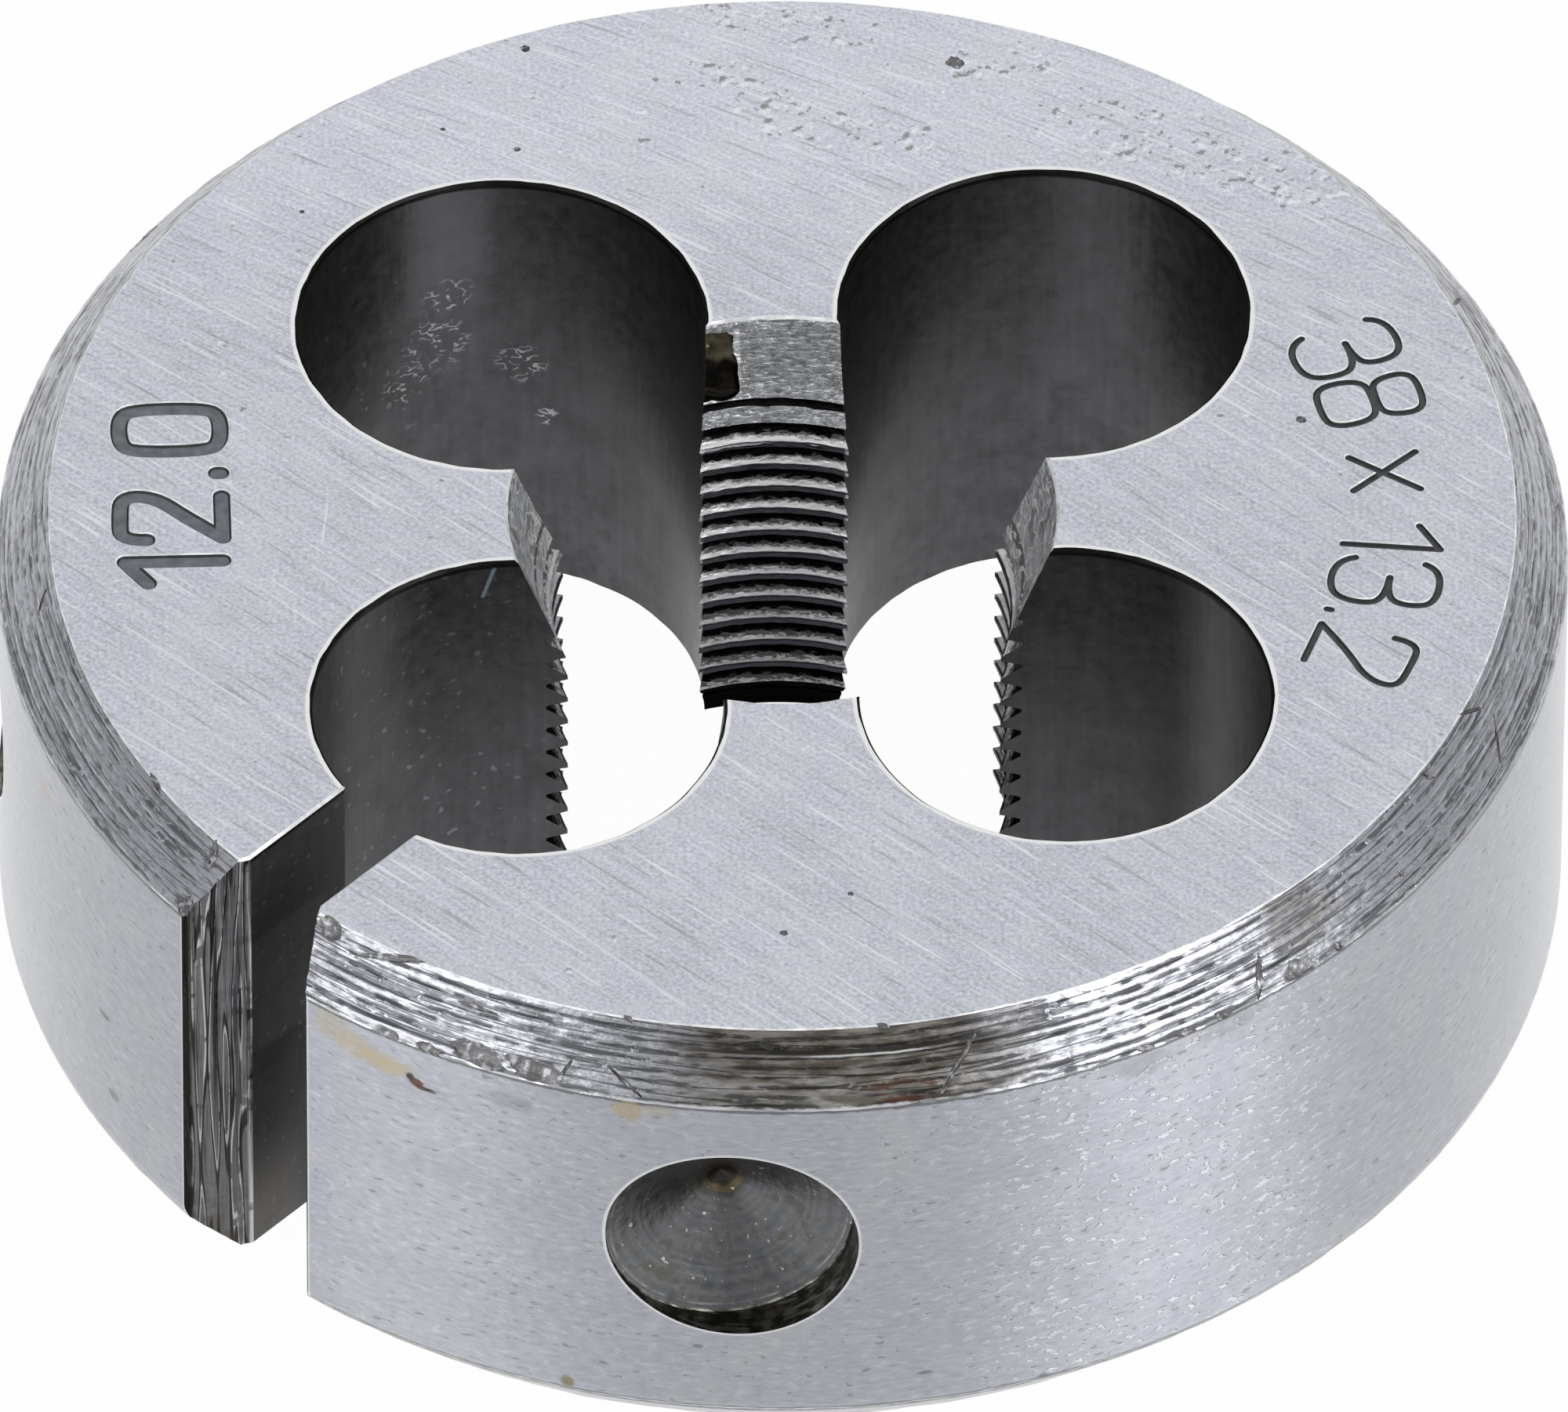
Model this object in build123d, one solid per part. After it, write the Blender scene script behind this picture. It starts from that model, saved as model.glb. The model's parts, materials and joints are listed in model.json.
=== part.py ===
"""Adjustable round threading die for a 12 mm fine thread, one piece of hardened tool steel.

The die is a thick turned disc with a chamfer round both faces. Its bore opens to both faces
in a lead cone, and four round chip holes cut the bore wall into four lands that carry the
thread. A narrow slot with a V mouth splits the rim, so that the die can be spread or closed a
little, and two drill-point dimples in the rim take the set screws of a die stock.

Millimetres. Z runs up the bore, the bottom face lies on Z = 0, and the lands lie on X and Y.
"""
import os
from math import ceil, radians, sqrt, tan

from build123d import *

# Blank
outside_diameter = 38.0
thickness = 13.2
rim_chamfer_width = 1.3
rim_chamfer_height = 1.5

# Thread: the die's teeth reach in to the root of the screw that they cut
thread_diameter = 12.0
thread_pitch = 0.75
thread_angle = 60.0
root_depth_per_pitch = 1.2269
root_flat_per_pitch = 0.125
thread_start_height = 0.37

# Cones at the ends of the bore: the long one at the top leads the rod in
lead_mouth_diameter = 13.3
lead_cone_angle = 38.0
exit_cone_angle = 60.0

# Chip holes, with a land between each two
chip_hole_count = 4
chip_hole_diameter = 9.9
chip_circle_diameter = 18.6
first_chip_hole_angle = 45.0

# Adjusting slot, which opens one chip hole to the rim
slot_hole_index = 2
slot_width = 2.3
slot_mouth_width = 4.0
slot_mouth_angle = 60.0

# Dimples for the set screws, drilled at a slant to the rim
dimple_diameter = 6.0
dimple_full_depth = 0.8
dimple_point_angle = 118.0
dimple_tilt = 10.0
dimple_rise = 0.5
dimple_angle_after_slot = 39.5
dimple_angle_before_slot = 48.5

# Lengths by which a cutter runs past the surface that it leaves
tool_overrun = 1.0
groove_overrun = 0.05

outer_radius = outside_diameter / 2
root_radius = thread_diameter / 2
crest_radius = root_radius - root_depth_per_pitch * thread_pitch / 2
lead_mouth_radius = lead_mouth_diameter / 2
lead_depth = (lead_mouth_radius - crest_radius) / tan(radians(lead_cone_angle / 2))
exit_depth = (lead_mouth_radius - crest_radius) / tan(radians(exit_cone_angle / 2))
chip_circle_radius = chip_circle_diameter / 2
angle_between_lands = 360 / chip_hole_count
first_land_angle = first_chip_hole_angle - angle_between_lands / 2
slot_angle = first_chip_hole_angle + slot_hole_index * angle_between_lands
dimple_height = thickness / 2 + dimple_rise


def turned_blank():
    """The disc as it leaves the lathe: one half section, revolved about the bore."""
    half_section = Polyline(
        (crest_radius, exit_depth),
        (lead_mouth_radius, 0),
        (outer_radius - rim_chamfer_width, 0),
        (outer_radius, rim_chamfer_height),
        (outer_radius, thickness - rim_chamfer_height),
        (outer_radius - rim_chamfer_width, thickness),
        (lead_mouth_radius, thickness),
        (crest_radius, thickness - lead_depth),
        close=True,
    )
    return revolve(Plane.XZ * make_face(half_section), Axis.Z, 360)


def through_cut(outline):
    """A cutter with the given outline, from below the bottom face to above the top face."""
    return extrude(Pos(0, 0, -tool_overrun) * outline, thickness + 2 * tool_overrun)


def chip_holes():
    """Round holes through the disc, which leave the threaded lands between them."""
    places = PolarLocations(chip_circle_radius, chip_hole_count, start_angle=first_chip_hole_angle)
    outline = Sketch() + places * Circle(chip_hole_diameter / 2)
    return through_cut(outline)


def adjusting_slot():
    """Narrow cut from a chip hole to the rim, with a V mouth for a pointed screw."""
    half_width = slot_width / 2
    half_mouth = slot_mouth_width / 2
    flank_slope = tan(radians(slot_mouth_angle / 2))
    mouth_reach = sqrt(outer_radius**2 - half_mouth**2)
    mouth_start = mouth_reach - (half_mouth - half_width) / flank_slope
    cut_end = outer_radius + tool_overrun
    cut_end_half_width = half_mouth + (cut_end - mouth_reach) * flank_slope
    outline = Polyline(
        (chip_circle_radius, -half_width),
        (mouth_start, -half_width),
        (cut_end, -cut_end_half_width),
        (cut_end, cut_end_half_width),
        (mouth_start, half_width),
        (chip_circle_radius, half_width),
        close=True,
    )
    return through_cut(Rot(0, 0, slot_angle) * make_face(outline))


def groove_cutter():
    """One turn's share of the thread groove over a land, centred on X and on Z = 0.

    It is swept along the helix from the middle of one chip hole to the middle of the next.
    """
    depth = root_radius - crest_radius + groove_overrun
    half_root = root_flat_per_pitch * thread_pitch / 2
    half_mouth = half_root + depth * tan(radians(thread_angle / 2))
    section = Polyline(
        (0, -half_root),
        (0, half_root),
        (-depth, half_mouth),
        (-depth, -half_mouth),
        close=True,
    )
    rise = thread_pitch / chip_hole_count
    helix = Helix(pitch=thread_pitch, height=rise, radius=root_radius)
    across_helix = Plane(origin=helix @ 0, x_dir=(1, 0, 0), z_dir=helix % 0)
    groove = sweep(across_helix * make_face(section), path=helix, is_frenet=True)
    return Pos(0, 0, -rise / 2) * Rot(0, 0, -angle_between_lands / 2) * groove


def thread_grooves():
    """The right-hand thread: the groove of each turn where it crosses each land."""
    cutter = groove_cutter()
    turns = ceil(thickness / thread_pitch)
    grooves = []
    for land in range(chip_hole_count):
        angle = first_land_angle + land * angle_between_lands
        for turn in range(turns):
            height = thread_start_height + (turn + angle / 360) * thread_pitch
            grooves.append(Pos(0, 0, height) * Rot(0, 0, angle) * cutter)
    return grooves


def rim_dimple(angle, tilt):
    """Space that a drill leaves at this angle round the rim, its axis swung by tilt about Z."""
    drill_radius = dimple_diameter / 2
    point_length = drill_radius / tan(radians(dimple_point_angle / 2))
    drill_section = Polyline(
        (0, -dimple_full_depth - point_length),
        (drill_radius, -dimple_full_depth),
        (drill_radius, dimple_diameter),
        (0, dimple_diameter),
        close=True,
    )
    drill = revolve(Plane.XZ * make_face(drill_section), Axis.Z, 360)
    on_rim = Rot(0, 0, angle) * Pos(outer_radius, 0, dimple_height)
    return on_rim * Rot(0, 0, tilt) * Rot(0, 90, 0) * drill


def threading_die():
    """The finished die."""
    die = turned_blank() - chip_holes() - adjusting_slot()
    die -= thread_grooves()
    die -= rim_dimple(slot_angle + dimple_angle_after_slot, dimple_tilt)
    die -= rim_dimple(slot_angle - dimple_angle_before_slot, -dimple_tilt)
    return die


os.makedirs("parts", exist_ok=True)
export_step(threading_die(), "parts/threading_die.step")
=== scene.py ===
"""Looks of an adjustable round threading die, one piece of turned, ground and hardened steel.

The die is cut here once more, finer than its CAD solid and at the same sizes: a disc with turned
chamfers, chip holes, an adjusting slot, a threaded bore and two set screw dimples. Each cutter
carries the finish of the surface that it leaves. Lengths are metres, written as so many MM.
"""
import json
import math

import bpy
from bpy.props import FloatProperty, FloatVectorProperty, IntProperty, PointerProperty
from mathutils import Matrix, Vector, noise

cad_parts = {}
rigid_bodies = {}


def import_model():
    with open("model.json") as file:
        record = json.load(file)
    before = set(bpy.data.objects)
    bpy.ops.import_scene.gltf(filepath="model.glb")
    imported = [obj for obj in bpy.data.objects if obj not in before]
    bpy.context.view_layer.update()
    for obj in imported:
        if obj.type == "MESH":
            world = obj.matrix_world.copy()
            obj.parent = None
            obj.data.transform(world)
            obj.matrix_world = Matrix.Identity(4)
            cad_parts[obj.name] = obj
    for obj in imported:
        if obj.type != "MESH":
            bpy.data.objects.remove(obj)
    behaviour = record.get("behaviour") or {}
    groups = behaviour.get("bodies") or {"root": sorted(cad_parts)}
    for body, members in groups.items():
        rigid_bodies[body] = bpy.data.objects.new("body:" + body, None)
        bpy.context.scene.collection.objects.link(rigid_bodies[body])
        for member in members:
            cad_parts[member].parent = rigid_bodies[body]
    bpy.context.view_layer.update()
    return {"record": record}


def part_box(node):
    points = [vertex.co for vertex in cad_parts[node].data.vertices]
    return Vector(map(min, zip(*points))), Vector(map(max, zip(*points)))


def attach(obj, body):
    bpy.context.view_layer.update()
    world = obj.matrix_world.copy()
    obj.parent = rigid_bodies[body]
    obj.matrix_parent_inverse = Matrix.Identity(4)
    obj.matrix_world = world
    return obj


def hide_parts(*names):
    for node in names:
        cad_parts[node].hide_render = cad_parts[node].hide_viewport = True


bl_info = {
    "name": "Round Threading Die",
    "version": (1, 0, 0),
    "blender": (4, 5, 0),
    "location": "3D View > Sidebar > Threading Die",
    "description": "Cuts and finishes a split round threading die",
    "category": "Add Mesh",
}

MM = 0.001
NODE = "threading_die"

for leftover in list(bpy.data.objects):
    bpy.data.objects.remove(leftover)
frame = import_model()
node_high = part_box(NODE)[1]
mounts = {mount["name"]: mount for mount in frame["record"]["mounts"]}
slot_axis = mounts["adjusting_slot"]["axis"]


def length(name, description, default):
    """A property that holds a length in metres."""
    return FloatProperty(
        name=name, description=description, default=default, subtype="DISTANCE", unit="LENGTH"
    )


def turn(name, description, default):
    """A property that holds an angle, with its default given in degrees."""
    return FloatProperty(
        name=name, description=description, default=math.radians(default), subtype="ANGLE"
    )


def colour(name, description, default):
    """A property that holds a linear colour."""
    return FloatVectorProperty(
        name=name, description=description, default=default, subtype="COLOR", min=0, max=1
    )


class DieSizes(bpy.types.PropertyGroup):
    """Sizes of the die, as in its CAD solid"""

    outside_radius: length("Outside Radius", "Radius of the rim", mounts["rim"]["dims"]["r_mm"] * MM)
    thickness: length("Thickness", "Height of the disc", node_high.z)
    chamfer_width: length("Chamfer Width", "Chamfer's reach along the face", 1.3 * MM)
    chamfer_height: length("Chamfer Height", "Chamfer's reach down the rim", 1.5 * MM)
    edge_break: length("Edge Break", "Width of the broken edges round holes", 0.07 * MM)
    crest_radius: length(
        "Crest Radius", "Bore at the thread's crests", mounts["threaded_bore"]["dims"]["r_mm"] * MM
    )
    root_radius: length("Root Radius", "Radius at the bottom of the thread groove", 6.0 * MM)
    thread_pitch: length("Thread Pitch", "Rise of the thread in one turn", 0.75 * MM)
    thread_angle: turn("Thread Angle", "Angle between the groove's flanks", 60)
    root_flat: length("Root Flat", "Width of the groove's bottom", 0.094 * MM)
    thread_start: length("Thread Start", "Height of the first groove over X", 0.37 * MM)
    lead_mouth_radius: length("Lead Mouth Radius", "Lead cone's radius at the faces", 6.65 * MM)
    lead_angle: turn("Lead Angle", "Full angle of the long lead cone at the top", 38)
    exit_angle: turn("Exit Angle", "Full angle of the short cone at the bottom", 60)
    chip_hole_count: IntProperty(name="Chip Holes", description="Number of chip holes", default=4)
    chip_hole_radius: length("Chip Hole Radius", "Radius of each chip hole", 4.95 * MM)
    chip_circle_radius: length("Chip Circle Radius", "Circle of the chip holes' centres", 9.3 * MM)
    first_chip_hole: turn("First Chip Hole", "Angle of the first chip hole", 45)
    slot_width: length("Slot Width", "Width of the adjusting slot", 2.3 * MM)
    slot_mouth_width: length("Mouth Width", "Width of the slot's mouth at the rim", 4.0 * MM)
    slot_mouth_angle: turn("Mouth Angle", "Full angle of the slot's mouth", 60)
    dimple_radius: length(
        "Dimple Radius", "Radius of the dimples", mounts["front_dimple"]["dims"]["r_mm"] * MM
    )
    dimple_depth: length("Dimple Depth", "Depth at the dimple's full diameter", 0.8 * MM)
    dimple_angle: turn("Dimple Angle", "Point angle of the drill", 118)


class DieWear(bpy.types.PropertyGroup):
    """How rough each cut was left"""

    ridge_pitch: length("Ridge Pitch", "Spacing of the turned ridges", 0.235 * MM)
    ridge_height: length("Ridge Height", "Height of the turned ridges", 0.021 * MM)
    ridge_wander: length("Ridge Wander", "Sideways wander of the ridges", 0.035 * MM)
    chamfer_tear: length("Chamfer Tear", "Torn streaks along the chamfer", 0.009 * MM)
    worn_corner: length("Worn Corner", "Reach of the rounding at the rim's lower edge", 0.30 * MM)
    rim_chips: length("Rim Chips", "Chips where the chamfer meets the rim", 0.035 * MM)
    face_chips: length("Face Chips", "Chips where the chamfer meets the face", 0.035 * MM)
    hole_chips: length("Hole Chips", "Chips along the edges of the chip holes", 0.035 * MM)
    top_rings: IntProperty(name="Top Rings", description="Rings of mesh in the top chamfer", default=44)
    low_rings: IntProperty(name="Low Rings", description="Rings in the bottom chamfer", default=9)
    mark_depth: length("Mark Depth", "Depth of the bold figures", 0.07 * MM)
    figure_depth: length("Figure Depth", "Depth of the thin figures", 0.09 * MM)
    thread_tear: length("Thread Tear", "Roughness of the thread's flanks", 0.03 * MM)
    cone_tear: length("Cone Tear", "Roughness of the lead cone", 0.02 * MM)
    flank_grooves: length("Flank Grooves", "Depth of the grooves in the slot's mouth", 0.035 * MM)


class DieFinish(bpy.types.PropertyGroup):
    """Colours of the steel as each cut left it"""

    ground: colour("Ground Faces", "Surface ground steel", (0.66, 0.68, 0.745))
    rim: colour("Rim", "Rim, ground between centres", (0.465, 0.482, 0.532))
    turned: colour("Chamfer", "Turned chamfer", (0.43, 0.44, 0.475))
    grime: colour("Grime", "Old oil and dirt in the tool marks", (0.055, 0.042, 0.028))
    scale: colour("Hardening Scale", "Dark scale in the chip holes", (0.085, 0.086, 0.090))
    thread: colour("Thread", "Tapped and torn steel", (0.88, 0.89, 0.92))
    lead: colour("Lead Cone", "Countersunk steel", (0.52, 0.53, 0.55))
    etch: colour("Etched Marks", "Steel darkened by etching", (0.17, 0.18, 0.20))
    rust: colour("Rust", "Rust specks", (0.13, 0.045, 0.020))
    # Edge colour: partly rubbed steel and partly a painted highlight along the broken edges
    edge: colour("Rubbed Edges and Highlights", "Edges rubbed bright", (0.90, 0.905, 0.93))
    stain: colour("Stain", "Yellow stain on the rim", (0.50, 0.41, 0.24))


class DieStage(bpy.types.PropertyGroup):
    """Camera and light"""

    azimuth: turn("Camera Azimuth", "Camera's direction round the die", -2.25)
    elevation: turn("Camera Elevation", "Camera's height above the horizon", 44.75)
    roll: turn("Camera Roll", "Camera's turn about its own axis", 0.32)
    distance: length("Camera Distance", "Camera's distance from its target", 1000 * MM)
    focal_length: FloatProperty(name="Focal Length", description="Lens, in millimetres", default=945.9)
    target: FloatVectorProperty(
        name="Target",
        description="Point at the middle of the picture",
        default=(0.088 * MM, 0.490 * MM, 6.0 * MM),
        subtype="TRANSLATION",
    )
    backdrop: colour("Backdrop", "Colour of the floor", (0.86, 0.86, 0.86))


# Steps of mesh round a turn, and rows of it from face to face
RIM_STEPS = 1080
HOLE_STEPS = 160
THREAD_STEPS = 144
DIMPLE_STEPS = 96
STROKE_END_STEPS = 20
SLOT_ROWS = 44
MOUTH_STRIPS = 30
REAMER_ROWS = 120
CONE_ROWS = 26

# How far a cutter runs past a face, and how close two places are the same
OVERRUN = 1.0 * MM
TOLERANCE = 0.001 * MM

SLOT_BEARING = math.atan2(slot_axis[1], slot_axis[0])
SEAM_TURN = math.pi - SLOT_BEARING
DIMPLES = ("front_dimple", "left_dimple")


# Modelling

def pick(*pieces):
    """Selects these pieces alone, and makes the first one active."""
    bpy.ops.object.select_all(action="DESELECT")
    for piece in pieces:
        piece.select_set(True)
    bpy.context.view_layer.objects.active = pieces[0]


def edit(piece):
    """Edit mode on one piece, with everything selected."""
    pick(piece)
    bpy.ops.object.mode_set(mode="EDIT")
    bpy.ops.mesh.select_all(action="SELECT")


def leave_edit():
    """Merges doubles, turns the edited faces outwards and goes back to object mode."""
    bpy.ops.mesh.select_all(action="SELECT")
    bpy.ops.mesh.remove_doubles(threshold=TOLERANCE)
    bpy.ops.mesh.normals_make_consistent(inside=False)
    bpy.ops.object.mode_set(mode="OBJECT")


def apply_place(piece):
    """Puts the piece's place into its mesh."""
    pick(piece)
    bpy.ops.object.transform_apply(location=True, rotation=True, scale=True)


def apply_modifier(piece, kind, **settings):
    """Adds a modifier with these settings and applies it."""
    pick(piece)
    modifier = piece.modifiers.new(kind.lower(), kind)
    for setting, value in settings.items():
        setattr(modifier, setting, value)
    bpy.ops.object.modifier_apply(modifier=modifier.name)


def add_to_scene(name, data):
    """A new object of the scene that holds this data."""
    holder = bpy.data.objects.new(name, data)
    bpy.context.scene.collection.objects.link(holder)
    return holder


def point_along(piece, axis):
    """Turns an object until its Z lies along the axis."""
    piece.rotation_mode = "QUATERNION"
    piece.rotation_quaternion = axis.to_track_quat("Z", "Y")


def direction(azimuth, elevation):
    """Unit vector from the die towards a place round it, azimuth counted from the front."""
    level = math.cos(elevation)
    return Vector((math.sin(azimuth) * level, -math.cos(azimuth) * level, math.sin(elevation)))


def rough(vector, size, seed=0.0):
    """Smooth noise from -1 to 1, for a point in metres and a grain size."""
    return noise.noise(vector / size + Vector((seed, seed * 1.7, seed * 0.3)))


def push_out(vertex, reach):
    """Moves a vertex away from the axis."""
    flat = vertex.co.to_2d()
    vertex.co.x, vertex.co.y = flat * (1 + reach / flat.length)


def finish_with(piece, *finishes):
    """Gives the piece these finishes in place of its own."""
    piece.data.materials.clear()
    for finish in finishes:
        piece.data.materials.append(finish)
    return piece


def join_up(pieces, *finishes):
    """Joins the pieces to one, with these finishes."""
    pick(*pieces)
    bpy.ops.object.join()
    return finish_with(pieces[0], *finishes)


def draw_up(name, rings, steps):
    """A round solid drawn ring by ring from its bottom face, rings given as (radius, height)."""
    (radius, height), *others = rings
    bpy.ops.mesh.primitive_circle_add(
        vertices=steps, radius=radius, fill_type="NGON", location=(0, 0, height)
    )
    piece = bpy.context.object
    piece.name = name
    edit(piece)
    for next_radius, next_height in others:
        bpy.ops.mesh.extrude_region_move(
            TRANSFORM_OT_translate={"value": (0, 0, next_height - height)}
        )
        share = next_radius / radius
        bpy.ops.transform.resize(value=(share, share, 1))
        radius, height = next_radius, next_height
    leave_edit()
    apply_place(piece)
    return piece


def cut(piece, cutter):
    """Takes the cutter's space out of the piece, and the cutter's finish with it."""
    apply_modifier(
        piece,
        "BOOLEAN",
        operation="DIFFERENCE",
        solver="MANIFOLD",
        material_mode="TRANSFER",
        object=cutter,
    )
    bpy.data.objects.remove(cutter)


def chamfer_slope(sizes):
    """Length of the chamfer from the face to the rim, along its slope."""
    return math.hypot(sizes.chamfer_width, sizes.chamfer_height)


def chamfer_rings(sizes, count):
    """Rings of the top chamfer from the rim up to the face, as (radius, height)."""
    low = sizes.thickness - sizes.chamfer_height
    return [
        (
            sizes.outside_radius - sizes.chamfer_width * ring / count,
            low + sizes.chamfer_height * ring / count,
        )
        for ring in range(count + 1)
    ]


def turned_disc(sizes, wear, finish):
    """The disc, with the lathe's ridges in both chamfers."""
    below = chamfer_rings(sizes, wear.low_rings)
    rings = [(radius, sizes.thickness - height) for radius, height in reversed(below)]
    rings[-2:] = worn_corner(sizes, wear)
    for share in (0.35, 0.68, 0.97):
        height = sizes.thickness - 2 * sizes.chamfer_height
        rings.append((sizes.outside_radius, sizes.chamfer_height + share * height))
    rings += chamfer_rings(sizes, wear.top_rings)
    disc = draw_up(NODE + "_body", rings, RIM_STEPS)
    kinds = ("rim", "ground", "chamfer", "edge")
    finish_with(disc, *(finish[kind] for kind in kinds))
    slope = chamfer_slope(sizes)
    for face in disc.data.polygons:
        down = chamfer_place(face.center, sizes)
        kind = "chamfer"
        if down > slope - TOLERANCE:
            kind = "rim"
        elif down < 0:
            kind = "ground"
        # Faces at the chamfer's top take the edge finish, a painted highlight along the face's edge
        elif down < 1.1 * slope / wear.top_rings:
            kind = "edge"
        face.material_index = kinds.index(kind)
    shape_ridges(disc, sizes, wear)
    return disc


def worn_corner(sizes, wear):
    """Rings that round the edge between the bottom chamfer and the rim."""
    corner = Vector((sizes.outside_radius, sizes.chamfer_height))
    inward = Vector((-sizes.chamfer_width, -sizes.chamfer_height)).normalized()
    start = corner + inward * wear.worn_corner
    end = corner + Vector((0, wear.worn_corner))
    rings = []
    for share in (0, 0.25, 0.5, 0.75, 1):
        rings.append(start.lerp(corner, share).lerp(corner.lerp(end, share), share))
    return [(ring.x, ring.y) for ring in rings]


def chamfer_place(point, sizes):
    """How far a point on the disc lies down the chamfer from the face, along its slope."""
    slope = chamfer_slope(sizes)
    height = abs(point.z - sizes.thickness / 2) - sizes.thickness / 2 + sizes.chamfer_height
    if height <= 0:
        return slope
    inner = sizes.outside_radius - sizes.chamfer_width
    return (point.to_2d().length - inner) / sizes.chamfer_width * slope


def ridge_relief(around, down, slope, wear):
    """Height of the turned surface over the true cone: ridges, torn streaks and chipped edges.

    Around is a point on the rim's circle, and down is the way down the slope.
    """
    def streak(long_grain, short_grain, seed):
        place = around / long_grain
        return noise.noise(Vector((place.x + seed, place.y, seed * 3.1 + down / short_grain)))

    wander = wear.ridge_wander * (streak(4 * MM, 0.9 * MM, 1) + 0.8 * streak(0.7 * MM, 0.3 * MM, 2))
    share = (down + wander) / wear.ridge_pitch
    within = share - math.floor(share)
    edge = min(within, 1 - within)
    strength = max(0.45, 0.9 + 0.8 * streak(1.6 * MM, 0.35 * MM, 3))
    strength *= 1 - 0.4 * min(1, max(0, (abs(around.x) - 11.5 * MM) / (2.5 * MM)))
    groove = -math.exp(-((edge / 0.16) ** 2))
    relief = wear.ridge_height * strength * (groove + 0.5 * (within - 0.5))
    relief += wear.chamfer_tear * (streak(0.5 * MM, 0.16 * MM, 4) + streak(0.25 * MM, 0.12 * MM, 5))
    rim_side = min(1, max(0, down / slope * 4 - 3))
    relief += wear.rim_chips * rim_side * streak(1.1 * MM, 0.5 * MM, 6)
    return relief


def shape_ridges(disc, sizes, wear):
    """Moves the chamfers' vertices so that the ridges wander and tear as they do in steel."""
    slope = chamfer_slope(sizes)
    down_way = Vector((sizes.chamfer_width, -sizes.chamfer_height)) / slope
    out_way = Vector((-down_way.y, down_way.x))
    middle = sizes.thickness / 2
    for vertex in disc.data.vertices:
        side = 1 if vertex.co.z > middle else -1
        down = chamfer_place(vertex.co, sizes)
        flat = vertex.co.to_2d()
        around = flat.normalized() * sizes.outside_radius
        radius = flat.length
        seed = 0 if side == 1 else 40
        grain = noise.noise(Vector((around.x, around.y, seed * MM)) / (1.4 * MM))
        fine = noise.noise(Vector((around.x, around.y, seed * MM + 3 * MM)) / (0.35 * MM))
        if down < TOLERANCE:
            radius += wear.face_chips * (grain + 0.5 * fine - 0.2)
        elif down > slope - TOLERANCE:
            vertex.co.z += side * wear.rim_chips * (0.7 * grain + 0.7 * fine)
        else:
            relief = ridge_relief(around + Vector((seed * MM, 0)), down, slope, wear)
            radius += out_way.x * relief
            vertex.co.z += side * out_way.y * relief
        vertex.co.x, vertex.co.y = flat.normalized() * radius


def chip_hole(angle, sizes, wear, finish):
    """Drill for one chip hole, flared at both faces to break the edges, which are chipped."""
    reach = OVERRUN + sizes.edge_break
    radius = sizes.chip_hole_radius
    rings = [
        (radius + reach, -OVERRUN),
        (radius, sizes.edge_break),
        (radius, sizes.thickness - sizes.edge_break),
        (radius + reach, sizes.thickness + OVERRUN),
    ]
    drill = draw_up("chip_hole_drill", rings, HOLE_STEPS)
    for vertex in drill.data.vertices:
        vertex.co.z += rough(vertex.co, 0.5 * MM, 15.0 + angle) * wear.hole_chips
    drill.location = Vector((math.cos(angle), math.sin(angle), 0)) * sizes.chip_circle_radius
    apply_place(drill)
    return finish_with(drill, finish["chip_hole"])


def finish_flares(cutter, edge, sizes):
    """Gives the cutter's flared ends the finish of a broken edge, near white as a painted highlight."""
    cutter.data.materials.append(edge)
    last = len(cutter.data.materials) - 1
    for face in cutter.data.polygons:
        if not sizes.edge_break < face.center.z < sizes.thickness - sizes.edge_break:
            face.material_index = last
    return cutter


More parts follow.
